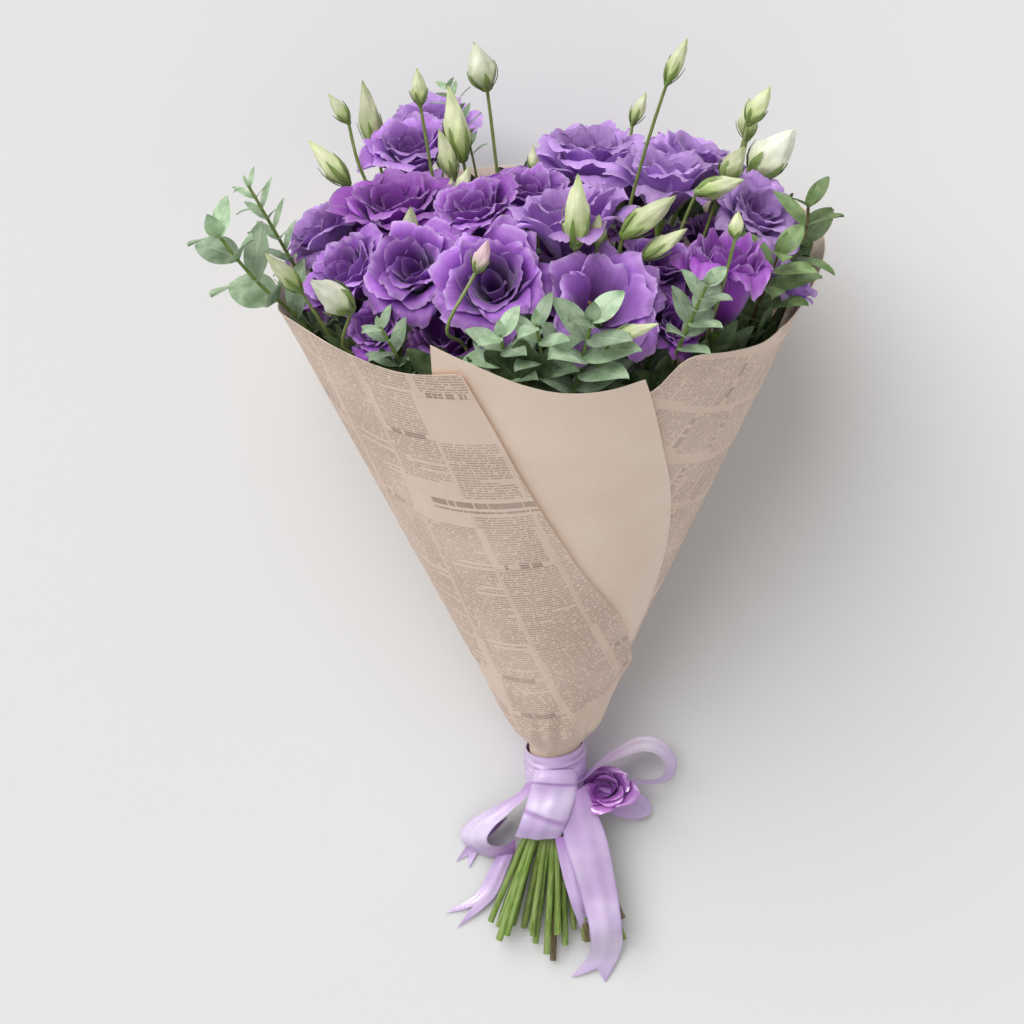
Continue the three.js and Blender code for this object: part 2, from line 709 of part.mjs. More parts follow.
// The cup under a flower, whose top stops just short of the petals.
const CALYX_LENGTH = 9;
function calyxSolid(bloom) {
  return spindle(
    bloom.base.clone().addScaledVector(bloom.axis, -CALYX_LENGTH),
    bloom.axis,
    [[2, 1.9], [CALYX_LENGTH - 2 * CLEAR, 3.2]],
    CALYX_LENGTH - CLEAR,
    5,
  );
}

function flowerStem(stem, index) {
  const target = flowerTargets[index];
  const share = FORK_ALONG / FLOWER_HEIGHT;
  const fork = at(target.side * share, target.front * share, FORK_ALONG);
  const path = mainStem(index, STEM_RADIUS, fork);
  const heading = fork.clone().sub(path[path.length - 2]).normalize();
  const pieces = [rod(path, STEM_RADIUS, 6)];
  // Shoots leave one below another, so that each one joins the stem by itself.
  const shootStart = (count) => fork.clone().addScaledVector(heading, -2 - SHOOT_STEP * count);
  for (const k of stem.blooms) {
    const bloom = BLOOMS[k];
    const foot = bloom.base.clone().addScaledVector(bloom.axis, 3 - CALYX_LENGTH);
    const path = route(shootStart((pieces.length - 1) / 2), heading, foot, bloom.axis, SHOOT_MARGIN, 5);
    pieces.push(rod(path, SHOOT_RADIUS, 4), calyxSolid(bloom));
  }
  for (const { middle, axis, length, width } of stem.buds) {
    const foot = middle.clone().addScaledVector(axis, -0.5 * length);
    const path = route(shootStart((pieces.length - 1) / 2), heading, foot, axis, SHOOT_MARGIN, 8);
    pieces.push(rod(path, STALK_RADIUS, 4), budSolid(foot, axis, length, width));
  }
  return joined(pieces);
}

// Whether a point keeps clear of the paper and of the open flowers.
function isClear(p, margin) {
  const held = p.clone();
  holdInPaper(held, margin);
  clearOfBlooms(held, margin);
  return held.distanceTo(p) === 0;
}

// The place on a path at a distance back from its end, and the way the path runs there.
function backFromEnd(path, distance) {
  let left = distance;
  for (let i = path.length - 1; ; i--) {
    const way = path[i].clone().sub(path[i - 1]);
    const length = way.length();
    way.normalize();
    if (left <= length || i === 1) return [path[i].clone().addScaledVector(way, -left), way];
    left -= length;
  }
}

// A sprig: a stem with pairs of leaves, each pair turned a quarter from the last.
function sprigSolid(sprig, index) {
  const tip = at(sprig.side, sprig.front, sprig.along);
  const share = FORK_ALONG / sprig.along;
  const fork = at(sprig.side * share, sprig.front * share, FORK_ALONG);
  holdInPaper(fork, SHOOT_MARGIN);
  const stem = mainStem(FLOWER_STEMS.length + index, SPRIG_RADIUS, fork);
  const heading = fork.clone().sub(stem[stem.length - 2]).normalize();
  const path = [...stem, ...route(fork, heading, tip, heading, SHOOT_MARGIN, 8).slice(1)];
  const pieces = [rod(path, SPRIG_RADIUS, 6)];
  for (let pair = 0; pair < sprig.pairs; pair++) {
    const [middle, axis] = backFromEnd(path, 2 + pair * sprig.spacing);
    const [e1, e2] = across(axis);
    const size = 0.7 + 0.3 * Math.min(1, pair / 2);
    const length = sprig.leaf * size;
    const width = sprig.width * size;
    for (let k = 0; k < 2; k++) {
      const angle = (90 * pair + 180 * k + 40 + 20 * chance(index, pair)) * DEG;
      const out = e1.clone().multiplyScalar(Math.cos(angle)).addScaledVector(e2, Math.sin(angle));
      const direction = out.clone().multiplyScalar(0.85).addScaledVector(axis, 0.6).normalize();
      const place = (v) => middle.clone().addScaledVector(direction, length * v);
      if ([0.35, 0.7, 1].every((v) => isClear(place(v), 3 + 0.4 * width))) {
        pieces.push(leafSolid(middle, direction, axis, length, width));
      }
    }
  }
  return joined(pieces);
}

// Ribbon

const RIBBON_THICK = 0.8;
const BAND_INNER = 17.4;
const BAND_FOOT = -12;
const BAND_TOP = 24;
const BAND_OUTER = BAND_INNER + RIBBON_THICK;

// The ribbon wound round the tie.
function bandSolid() {
  const tube = (radius, foot, top) =>
    solidOf(
      new THREE.CylinderGeometry(radius, radius, top - foot, 24)
        .rotateX(RISE)
        .translate(...at(0, 0, (foot + top) / 2).toArray()),
    );
  return tube(BAND_OUTER, BAND_FOOT, BAND_TOP).subtract(tube(BAND_INNER, BAND_FOOT - 2, BAND_TOP + 2));
}

// A length of ribbon between two edges, each a smooth curve through its points. A notch cuts its end to a V.
function ribbonSolid({ left, right, rows, notch = 0 }) {
  const curves = [left, right].map(
    (edge) => new THREE.CatmullRomCurve3(edge.map((p) => new THREE.Vector3(...p)), false, "centripetal"),
  );
  return blade(2, rows, RIBBON_THICK, (u, v) => {
    const t = v * (1 - notch * (1 - Math.abs(u)));
    return curves[0].getPoint(clamp01(t)).lerp(curves[1].getPoint(clamp01(t)), (u + 1) / 2);
  });
}

// Edge points are [x, y, z] in the part's frame, from the tie outward.
const RIBBONS = {
  ribbon_fold: {
    left: [[-14, 0, 41.9], [-17, -14, 38], [-22, -30, 35], [-26, -41, 31], [-24, -38, 27.5], [-21, -28, 29]],
    right: [[11, -1, 41.5], [10, -15, 40], [7, -31, 38], [4, -43, 34], [4, -39, 30.5], [5, -28, 31]],
    rows: 10,
  },
  ribbon_loop_left: {
    left: [[-19.3, 1, 18], [-42, -15, 14], [-60, -28, 8], [-64, -43, 4], [-52, -54, 4], [-34, -50, 5]],
    right: [[-16.3, -10, 30], [-30, -22, 34], [-45, -31, 31], [-49, -44, 26], [-38, -53, 21], [-27, -46, 20]],
    rows: 10,
  },
  ribbon_loop_right: {
    left: [[19.3, 2, 22], [36, 19, 24], [56, 25, 22], [76, 10, 17], [68, -8, 14], [48, -12, 12]],
    right: [[15.1, -3, 34], [38, 11, 42], [54, 15, 44], [70, 6, 38], [63, -7, 32], [50, -8, 26]],
    rows: 10,
  },
  ribbon_end_left: {
    left: [[-30, -34, 3], [-46, -46, 3.2], [-58, -64, 2]],
    right: [[-34, -28, 8], [-52, -42, 3.6], [-66, -60, 1]],
    rows: 4,
    notch: 0.12,
  },
  ribbon_tail_left: {
    left: [[-36, -51.4, 4.7], [-49, -82, 1], [-66, -102, 1]],
    right: [[-42, -53.6, 4.3], [-54, -72, 10], [-75, -91, 6]],
    rows: 6,
    notch: 0.2,
  },
  ribbon_tail_right: {
    left: [[12, -24, 37], [8, -44, 36], [14, -84, 29], [18, -110, 25], [14, -128, 6], [5, -137, 1]],
    right: [[24, -28, 27], [30, -40, 30], [37, -84, 27], [38, -108, 24], [35, -126, 6], [26, -142, 1]],
    rows: 12,
    notch: 0.08,
  },
  ribbon_tail_middle: {
    left: [[-2, -43.8, 31.9], [2, -70, 29], [10, -104, 27], [16, -124, 10]],
    right: [[12, -39.8, 32.6], [12, -66, 29], [17, -102, 26.5], [24, -119, 10]],
    rows: 7,
    notch: 0.1,
  },
  ribbon_leaf: {
    left: [[22, -25, 25], [40, -27, 20], [57, -31, 12]],
    right: [[27.4, -10.4, 22.1], [42, -13, 15], [60, -20, 10]],
    rows: 4,
  },
};

// A rosette of folded satin at the side of the tie.
const ROSETTE = {
  base: new THREE.Vector3(28, -10, 22.6),
  axis: new THREE.Vector3(0.35, -0.1, 0.93).normalize(),
  radius: 17,
  depth: 14,
  open: 0.6,
  turn: 10,
};

const numbered = (name, i) => `${name}_${String(i + 1).padStart(2, "0")}`;
const group = new THREE.Group();
group.add(
  meshOf("paper_wrap", paperWrap, paperLook),
  meshOf("paper_panel", paperPanel, plainPaperLook),
  ...BLOOMS.map((bloom, i) => meshOf(numbered("bloom", i), flowerSolid(bloom, 5, 3), petalLook)),
  ...FLOWER_STEMS.map((stem, i) => meshOf(numbered("flower_stem", i), flowerStem(stem, i), stemLook)),
  ...SPRIGS.map((sprig, i) => meshOf(`leaf_sprig_${i + 1}`, sprigSolid(sprig, i), leafLook)),
  meshOf("ribbon_band", bandSolid(), ribbonLook),
  ...Object.entries(RIBBONS).map(([name, strip]) => meshOf(name, ribbonSolid(strip), ribbonLook)),
  meshOf("ribbon_rosette", flowerSolid(ROSETTE, 4, 3), rosetteLook),
);

// The origin is at the middle of the whole bunch, on the surface it lies on.
const box = new THREE.Box3().setFromObject(group);
const middle = box.getCenter(new THREE.Vector3());
for (const mesh of group.children) mesh.geometry.translate(-middle.x, -middle.y, -box.min.z);

export default group;
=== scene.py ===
"""Looks for a hand-tied bunch of lisianthus in a paper cone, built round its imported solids.

Every CAD node is replaced by a finer piece in the same place. Lengths are millimetres until a mesh is made.
As in the part's source, a place in the bunch is (side, front, along): side is to the right as seen from
above, front is away from the surface, square to the bunch's own axis, and along is the distance from the tie
up that axis.
"""

import itertools
from math import atan2, ceil, cos, floor, hypot, pi, radians, sin, sqrt, tan
from types import SimpleNamespace

import bpy
import numpy as np
from mathutils import Matrix, Vector


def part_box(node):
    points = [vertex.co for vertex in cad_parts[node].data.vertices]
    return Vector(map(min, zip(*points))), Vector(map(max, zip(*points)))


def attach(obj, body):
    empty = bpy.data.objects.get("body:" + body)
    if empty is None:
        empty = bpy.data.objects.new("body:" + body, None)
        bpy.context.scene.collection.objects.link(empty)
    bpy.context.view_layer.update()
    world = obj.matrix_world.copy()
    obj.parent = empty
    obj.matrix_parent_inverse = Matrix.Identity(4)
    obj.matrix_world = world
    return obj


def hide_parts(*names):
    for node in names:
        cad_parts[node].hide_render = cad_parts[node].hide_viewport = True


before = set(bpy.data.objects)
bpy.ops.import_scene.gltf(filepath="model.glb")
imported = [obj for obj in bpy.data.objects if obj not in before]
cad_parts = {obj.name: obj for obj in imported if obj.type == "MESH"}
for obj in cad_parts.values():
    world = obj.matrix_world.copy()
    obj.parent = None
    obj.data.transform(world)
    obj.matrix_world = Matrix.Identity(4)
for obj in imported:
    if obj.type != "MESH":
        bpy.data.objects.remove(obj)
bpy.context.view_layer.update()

MM = 0.001

# The bunch's own directions and its tie, found from the ribbon band

AXIS_RISE = radians(21.5)
SIDE = Vector((1, 0, 0))
FRONT = Vector((0, -sin(AXIS_RISE), cos(AXIS_RISE)))
ALONG = Vector((0, cos(AXIS_RISE), sin(AXIS_RISE)))
TIE_HEIGHT = 22
BAND_FOOT = -12
BAND_TOP = 24
BAND_INNER = 17.4
band_low, band_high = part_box("ribbon_band")
TIE = (band_low + band_high) / 2 / MM - ALONG * (BAND_FOOT + BAND_TOP) / 2
UNDER_TIE = TIE - Vector((0, 0, TIE_HEIGHT))


def at(side, front, along):
    """A point of the bunch, in the part's frame."""
    return TIE + SIDE * side + FRONT * front + ALONG * along


def times(amounts, way):
    """A direction times each amount of an array."""
    return amounts[..., None] * np.array(way)


def points_at(sides, fronts, alongs):
    """Points of the bunch, from arrays of places."""
    return np.array(TIE) + times(sides, SIDE) + times(fronts, FRONT) + times(alongs, ALONG)


def leaning(side_deg, front_deg):
    """A direction that leans from the bunch's axis."""
    lean = SIDE * tan(radians(side_deg)) + FRONT * tan(radians(front_deg))
    return (ALONG + lean).normalized()


def lerp(a, b, t):
    return a + (b - a) * t


def clamp01(t):
    return min(1, max(0, t))


def smooth(t):
    """Eases from 0 to 1 as t does, for numbers and arrays."""
    t = np.clip(t, 0, 1)
    return t * t * (3 - 2 * t)


def even(values, count):
    """Values at even steps, read at more of them."""
    return np.interp(np.linspace(0, 1, count), np.linspace(0, 1, len(values)), values)


def chance(i, j):
    """A repeatable number from 0 to 1 for each pair of numbers."""
    x = sin(i * 127.1 + j * 311.7) * 43758.5453
    return x - floor(x)


def pick(a, b, i, j):
    return lerp(a, b, chance(i, j))


def across(axis):
    """Two directions square to an axis and to each other."""
    guide = Vector((1, 0, 0)) if abs(axis.x) < 0.9 else Vector((0, 1, 0))
    first = (guide - axis * guide.dot(axis)).normalized()
    return first, axis.cross(first)


def spoke(axis, angle):
    """The direction square to an axis, at an angle round it in degrees."""
    first, second = across(axis)
    return first * cos(radians(angle)) + second * sin(radians(angle))


def leafing(axis, angle, out, up):
    """The direction of a leaf, by how much it goes out from its stem and up along it."""
    return (spoke(axis, angle) * out + axis * up).normalized()


def turned(base, axis, radius, angle, height, shift=0):
    """Points round an axis, from their radius, their angle in radians and their height, shifted aside."""
    first, second = across(axis)
    aside = times(radius * np.cos(angle) + shift, first) + times(radius * np.sin(angle), second)
    return np.array(base) + aside + times(height, axis)


def curve_through(points, count):
    """Points of a smooth centripetal curve through the given ones."""
    given = [np.array(p, float) for p in points]
    given = [2 * given[0] - given[1], *given, 2 * given[-1] - given[-2]]
    made = []
    for t in np.linspace(0, len(given) - 3, count):
        i = min(int(t), len(given) - 4)
        p = given[i : i + 4]
        knots = [0.0]
        for a, b in zip(p, p[1:]):
            knots.append(knots[-1] + max(np.linalg.norm(b - a) ** 0.5, 1e-4))
        x = lerp(knots[1], knots[2], t - i)
        for step in (1, 2):
            shares = [(x - knots[k]) / (knots[k + step] - knots[k]) for k in range(4 - step)]
            p = [lerp(a, b, share) for a, b, share in zip(p, p[1:], shares)]
        made.append(lerp(p[0], p[1], t - i))
    return np.array(made)


# Meshes


def grid(columns, rows):
    """A u from -1 to 1 across the columns, and a v from 0 to 1 up the rows."""
    return np.linspace(-1, 1, columns)[None, :], np.linspace(0, 1, rows)[:, None]


def show(name, data):
    """Puts an object into the scene."""
    made = bpy.data.objects.new(name, data)
    bpy.context.scene.collection.objects.link(made)
    return made


def tube(points, radii, sides):
    """Rings of points round a path, kept from twisting."""
    points = np.array(points, float)
    ways = np.gradient(points, axis=0)
    ways /= np.linalg.norm(ways, axis=1, keepdims=True)
    side = np.array(across(Vector(ways[0]))[0])
    turns = np.linspace(0, 2 * pi, sides, endpoint=False)
    rings = []
    for point, way, radius in zip(points, ways, np.broadcast_to(radii, len(points))):
        side = side - way * side.dot(way)
        side /= np.linalg.norm(side)
        ring = np.outer(np.cos(turns), side) + np.outer(np.sin(turns), np.cross(way, side))
        rings.append(point + radius * ring)
    return np.array(rings)


class Skin:
    """Surfaces that become one mesh. Each has its own tint and its own material."""

    def __init__(self):
        self.surfaces = []
        self.count = 0

    def add(self, points, tint=(0, 0, 0), slot=0, length=1, closed=False, uv=None):
        """Adds a surface through rows of points. Its u runs from 0 to 1 in a row, and its v from 0 to the
        length over the rows, unless a uv is given. A closed one joins each row's last point to its first."""
        rows, columns = points.shape[:2]
        index = self.count + np.arange(rows * columns).reshape(rows, columns)
        if closed:
            index = np.hstack([index, index[:, :1]])
        if uv is None:
            steps = np.linspace(0, 1, columns + closed), np.linspace(0, length, rows)
            uv = np.stack(np.meshgrid(*steps), axis=-1)
        low, high = slice(None, -1), slice(1, None)
        corners = [(low, low), (low, high), (high, high), (high, low)]
        quads = np.stack([index[c] for c in corners], axis=-1).reshape(-1, 4)
        uvs = np.stack([uv[c] for c in corners], axis=2).reshape(-1, 4, 2)
        tints = np.broadcast_to(tint, (rows, columns, 3)).reshape(-1, 3)
        slots = np.full(len(quads), slot, np.int32)
        self.surfaces.append((points.reshape(-1, 3), quads, uvs, tints, slots))
        self.count += rows * columns

    def add_tube(self, points, radii, sides, tint=(0, 0, 0), slot=0, length=1):
        self.add(tube(points, radii, sides), tint, slot, length, closed=True)

    def piece(self, name, materials, slot, *nodes):
        """Makes the piece, which stands for the CAD nodes."""
        points, quads, uvs, tints, slots = (np.concatenate(arrays) for arrays in zip(*self.surfaces))
        mesh = bpy.data.meshes.new(name)
        mesh.from_pydata((points * MM).tolist(), [], quads.tolist())
        mesh.uv_layers.new(name="UVMap").data.foreach_set("uv", uvs.ravel())
        colours = np.hstack([tints, np.ones((self.count, 1))])
        mesh.attributes.new("tint", "FLOAT_COLOR", "POINT").data.foreach_set("color", colours.ravel())
        mesh.polygons.foreach_set("material_index", slots)
        mesh.polygons.foreach_set("use_smooth", np.ones(len(mesh.polygons), bool))
        for material in materials:
            mesh.materials.append(material)
        mesh.update()
        made = show(name, mesh)
        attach(made, "root")
        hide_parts(*nodes)
        return made


# Materials


def math_node(operation):
    """A method that makes a Math node of a value and another one."""
    return lambda value, other=0: value.finish.math(operation, value, other)


class Value:
    """A node's output, which can be used in sums and comparisons. Between two, | takes the larger one."""

    def __init__(self, finish, socket):
        self.finish = finish
        self.socket = socket

    def __rsub__(self, other):
        return self.finish.math("SUBTRACT", other, self)

    def __floordiv__(self, other):
        return self.finish.math("FLOOR", self / other)

    def fraction(self, other):
        """What is left of the value over the other one, above a whole number."""
        return self.finish.math("FRACT", self / other)

    __add__ = math_node("ADD")
    __sub__ = math_node("SUBTRACT")
    __mul__ = math_node("MULTIPLY")
    __truediv__ = math_node("DIVIDE")
    __mod__ = math_node("MODULO")
    __or__ = math_node("MAXIMUM")
    __lt__ = math_node("LESS_THAN")
    __gt__ = math_node("GREATER_THAN")
    __abs__ = math_node("ABSOLUTE")


class Finish:
    """A node material. Its methods add nodes and give their outputs."""

    def __init__(self, name, **sockets):
        self.material = bpy.data.materials.new(name)
        self.material.use_nodes = True
        self.tree = self.material.node_tree
        self.shader = self.tree.nodes["Principled BSDF"]
        for socket, value in sockets.items():
            self.shader.inputs[socket.replace("_", " ").title().replace("Ior", "IOR")].default_value = value

    def node(self, kind, inputs=(), output=0, **settings):
        made = self.tree.nodes.new("ShaderNode" + kind)
        for setting, value in settings.items():
            setattr(made, setting, value)
        for key, value in dict(inputs).items():
            if isinstance(value, Value):
                self.tree.links.new(value.socket, made.inputs[key])
            else:
                made.inputs[key].default_value = value
        return Value(self, made.outputs[output])

    def math(self, operation, a, b=0, clamp=False):
        return self.node("Math", {0: a, 1: b}, operation=operation, use_clamp=clamp)

    def vector(self, x, y, z=0):
        return self.node("CombineXYZ", {0: x, 1: y, 2: z})

    def mix(self, share, a, b, blend="MIX"):
        """Mixes two colours, each a value or three numbers."""
        a, b = (colour if isinstance(colour, Value) else (*colour, 1) for colour in (a, b))
        return self.node("Mix", {"Factor": share, 6: a, 7: b}, output=2, data_type="RGBA", blend_type=blend)

    def lit(self, colour, light):
        """A colour times a light, which is a single value."""
        return self.mix(1, colour, self.node("CombineColor", {0: light, 1: light, 2: light}), "MULTIPLY")

    def noise(self, vector, scale, detail=2):
        return self.node("TexNoise", {"Vector": vector, "Scale": scale, "Detail": detail})

    def random(self, *numbers):
        return self.node("TexWhiteNoise", {"Vector": self.vector(*numbers)}, noise_dimensions="3D")

    def ramp(self, share, stops):
        made = self.node("ValToRGB", {0: share})
        elements = made.socket.node.color_ramp.elements
        while len(elements) < len(stops):
            elements.new(0.5)
        for element, (place, colour) in zip(elements, stops):
            element.position = place
            element.color = (*colour, 1)
        return made

    def spread(self, value, low=0.3, high=0.7, to_low=0, to_high=1):
        """Moves a value from one range to another, smoothly and no further."""
        inputs = {0: value, 1: low, 2: high, 3: to_low, 4: to_high}
        return self.node("MapRange", inputs, interpolation_type="SMOOTHSTEP")

    def parts(self, kind, value):
        """The three numbers of a vector or a colour."""
        return [Value(self, output) for output in self.node(kind, {0: value}).socket.node.outputs]

    def uv(self):
        return self.parts("SeparateXYZ", self.node("UVMap", uv_map="UVMap"))[:2]

    def tint(self):
        return self.parts("SeparateColor", self.node("Attribute", attribute_name="tint"))

    def cloud(self, scale, detail=2):
        """Noise in the part's own space, in metres."""
        return self.noise(self.node("TexCoord", output=3), scale, detail)

    def into(self, socket, value):
        self.tree.links.new(value.socket, self.shader.inputs[socket])

    def surface(self, colour, roughness, height, distance, strength=1, through=0):
        """Gives the material its colour, its roughness unless that is the same all over, and its bumps. A
        thin petal or leaf lets a share of light through."""
        self.into("Base Color", colour)
        if roughness:
            self.into("Roughness", roughness)
        inputs = {"Height": height, "Distance": distance, "Strength": strength}
        self.into("Normal", self.node("Bump", inputs))
        if through:
            thin = self.node("BsdfTranslucent", {"Color": colour})
            mixed = self.node("MixShader", {0: through, 1: Value(self, self.shader.outputs[0]), 2: thin})
            self.tree.links.new(mixed.socket, self.tree.nodes["Material Output"].inputs["Surface"])
        return self.material


def petal_finish(name, stops, pale, warm, deep, sheen, through=0.28):
    """A petal: stops colour it from root to rim. It turns to pale with the tint's blue, or to warm where that
    is below 0, and to deep, a painted shade, with the tint's green, which is larger on inner rings."""
    made = Finish(name, roughness=0.5, sheen_weight=sheen, sheen_roughness=0.4, specular_ior_level=0.35)
    u, v = made.uv()
    own, painted_ring_shade, paleness = made.tint()
    to_rim = made.spread(v, 0, 0.7, 0.2, 1)
    body = made.mix(made.math("MULTIPLY", paleness, to_rim, clamp=True), made.ramp(v, stops), pale)
    body = made.mix(made.math("MULTIPLY", paleness * -1, to_rim, clamp=True), body, warm)
    streak = made.noise(made.vector(u * 26, v * 2.2, own * 40), 1, 3)
    blotch = made.cloud(90, 3)
    light = made.spread(streak, 0.3, 0.7, 0.93, 1.07) + made.spread(blotch, 0.3, 0.7, -0.1, 0.1)
    light = light * made.spread(own, 0, 1, 0.82, 1.18)
    # Inner rings are painted darker toward deep: painted shade.
    colour = made.mix(made.spread(painted_ring_shade, 0, 1, 0, 0.62), made.lit(body, light), deep)
    return made.surface(colour, None, streak + blotch * 0.5, 0.0006, 0.3, through)


# From root to rim: the near-black root is partly painted shade, and the light lilac rim partly a painted
# highlight, on the petal's own violet.
PETAL_STOPS = [
    (0, (0.03, 0.004, 0.05)),
    (0.28, (0.15, 0.02, 0.26)),
    (0.65, (0.34, 0.075, 0.55)),
    (0.92, (0.47, 0.175, 0.68)),
    (1, (0.66, 0.42, 0.83)),
]
# Flowers deep in the bunch get a darker copy of the petal colours: painted shade.
INNER_PAINTED_SHADE = 0.45
PAINTED_SHADE_STOPS = [(place, tuple(INNER_PAINTED_SHADE * part for part in colour)) for place, colour in PETAL_STOPS]
BUD_STOPS = [
    (0, (0.27, 0.42, 0.10)),
    (0.3, (0.56, 0.68, 0.26)),
    (0.7, (0.82, 0.85, 0.55)),
    (1, (0.60, 0.70, 0.32)),
]
# Pale, warm and deep colours; deep is painted shade on inner rings.
PETAL_HUES = [(0.70, 0.45, 0.90), (0.46, 0.05, 0.57), (0.14, 0.02, 0.25)]
PETAL = petal_finish("petal", PETAL_STOPS, *PETAL_HUES, 0.4)
PAINTED_SHADE_HUES = [(0.3, 0.2, 0.4), (0.24, 0.03, 0.30), (0.07, 0.01, 0.13)]
SHADED_INNER_PETAL = petal_finish("painted_shade_petal", PAINTED_SHADE_STOPS, *PAINTED_SHADE_HUES, 0.2)
BUD_HUES = [(0.90, 0.90, 0.80), (0.82, 0.56, 0.66), (0.3, 0.4, 0.1)]
BUD = petal_finish("bud", BUD_STOPS, *BUD_HUES, 0.1, through=0.18)


def leaf_finish(name, dark, light, vein):
    """A clouded leaf with a midrib and slanting side ribs."""
    made = Finish(name, specular_ior_level=0.4)
    u, v = made.uv()
    own = made.tint()[0]
    middle = abs(u - 0.5)
    side_rib = made.spread(made.math("PINGPONG", v * 11 - middle * 9, 0.5), 0, 0.1, 0.5, 0)
    web = made.spread(middle, 0, 0.05, 1, 0) | side_rib
    cloud = made.cloud(130, 4)
    body = made.mix(made.spread(cloud, 0.35, 0.65), dark, light)
    colour = made.mix(web * 0.38, made.lit(body, made.spread(own, 0, 1, 0.72, 1.2)), vein)
    roughness = made.spread(cloud, 0.3, 0.7, 0.4, 0.56)
    return made.surface(colour, roughness, cloud * 0.4 - web, 0.0005, 0.6, 0.16)


LEAF = leaf_finish("leaf", (0.30, 0.44, 0.255), (0.50, 0.65, 0.44), (0.64, 0.76, 0.57))
DARK_LEAF = leaf_finish("dark_leaf", (0.13, 0.22, 0.07), (0.26, 0.38, 0.15), (0.40, 0.50, 0.25))
# A much darker copy of the leaf green for leaves inside the paper's rim: painted shade.
SHADED_LINING_LEAF = leaf_finish("shaded_lining_leaf", (0.04, 0.075, 0.025), (0.10, 0.16, 0.06), (0.18, 0.25, 0.11))


def stem_finish():
    """A green stem with streaks along it, which turns brown with the tint's green."""
    made = Finish("stem", specular_ior_level=0.45)
    u, v = made.uv()
    own, woody, _ = made.tint()
    streak = made.noise(made.vector(u * 14, v * 0.12, own * 30), 1, 3)
    cloud = made.cloud(60, 3)
    green = made.mix(made.spread(streak), (0.115, 0.215, 0.03), (0.28, 0.41, 0.09))
    green = made.mix(made.spread(cloud, 0.4, 0.75, 0, 0.5), green, (0.33, 0.40, 0.145))
    brown = made.mix(made.spread(streak), (0.09, 0.05, 0.03), (0.24, 0.15, 0.09))
    colour = made.mix(woody, green, brown)
    return made.surface(colour, made.spread(cloud, 0.3, 0.7, 0.34, 0.55), streak + cloud, 0.0005, 0.6)


def heart_finish():
    """The pistil and the anthers, gold to brown by the tint."""
    made = Finish("heart", roughness=0.7)
    grain = made.cloud(1500)
    colour = made.mix(made.tint()[0], (0.30, 0.36, 0.07), (0.42, 0.25, 0.07))
    colour = made.mix(made.spread(grain, 0.3, 0.7, 0, 0.5), colour, (0.17, 0.09, 0.03))
    return made.surface(colour, None, grain, 0.0004)


STEM = stem_finish()
HEART = heart_finish()


def satin_finish(name, dark, light, deep, painted_light_colour):
    """Satin ribbon: fine threads across it, a soft sheen and a selvedge at each side. It turns to deep, a
    painted shade, with the tint's red and to the painted light colour with its green."""
    made = Finish(name, anisotropic=0.6, specular_ior_level=1, sheen_weight=0.2, sheen_roughness=0.3)
    u, v = made.uv()
    depth, painted_light_share, _ = made.tint()
    thread = made.noise(made.vector(u * 3, v * 900), 1, 1)
    # Clouds of painted sheen between the dark and light satin.
    painted_sheen_cloud = made.cloud(45)
    selvedge = made.spread(abs(u - 0.5), 0.455, 0.475)
    body = made.mix(made.spread(painted_sheen_cloud), dark, light)
    body = made.mix(made.spread(thread, 0.3, 0.7, 0, 0.12), body, (1, 1, 1), "OVERLAY")
    # Painted shade toward deep by the tint's red, and painted light toward the last colour by its green.
    body = made.mix(depth, made.mix(painted_light_share, body, painted_light_colour), deep)
    colour = made.mix(selvedge * 0.3, body, dark, "MULTIPLY")
    roughness = made.spread(thread, 0.2, 0.8, 0.2, 0.32)
    return made.surface(colour, roughness, thread * 0.3 + selvedge * 0.7, 0.0003, 0.5)


# Each satin: its dark and light colours, its deep colour, a painted shade on the ribbons, and its painted
# light colour, a painted highlight on the lilac ribbons.
LILAC = [(0.53, 0.37, 0.69), (0.66, 0.50, 0.78), (0.36, 0.11, 0.50), (0.88, 0.79, 0.95)]
VIOLET = [(0.42, 0.10, 0.52), (0.68, 0.34, 0.78), (0.20, 0.03, 0.30), (0.40, 0.09, 0.50)]
RIBBON_SATIN = satin_finish("lilac_satin", *LILAC)
ROSETTE_SATIN = satin_finish("violet_satin", *VIOLET)

# Print: lengths are millimetres on the flat sheet, and margins and heights are shares of a column or a line.
COLUMN_WIDTH = 37
COLUMN_MARGIN = 0.035
LINE_PITCH = 2.1
TEXT_HALF_HEIGHT = 0.27
HEADING_HALF_HEIGHT = 0.4
HEADING_HALF_WIDTH = 0.33
HEADING_LINES = 2
BLOCK_LINES = 17
HEADLINE_PLACE = (47, 294)
HEADLINE_SIZE = (66, 15)
NECK_FADE = (50, 95)
INK = (0.13, 0.085, 0.06)
INK_SHARE = 0.62
# Each block has a number from 0 to 1 that says of which kind it is, and each line has one for its length.
BLANK_BELOW = 0.03
HEADED_ABOVE = 0.72
BOXED_ABOVE = 0.75
NARROW_ABOVE = 0.8
NARROW_INSET = 0.06
SHORT_BELOW = 0.14


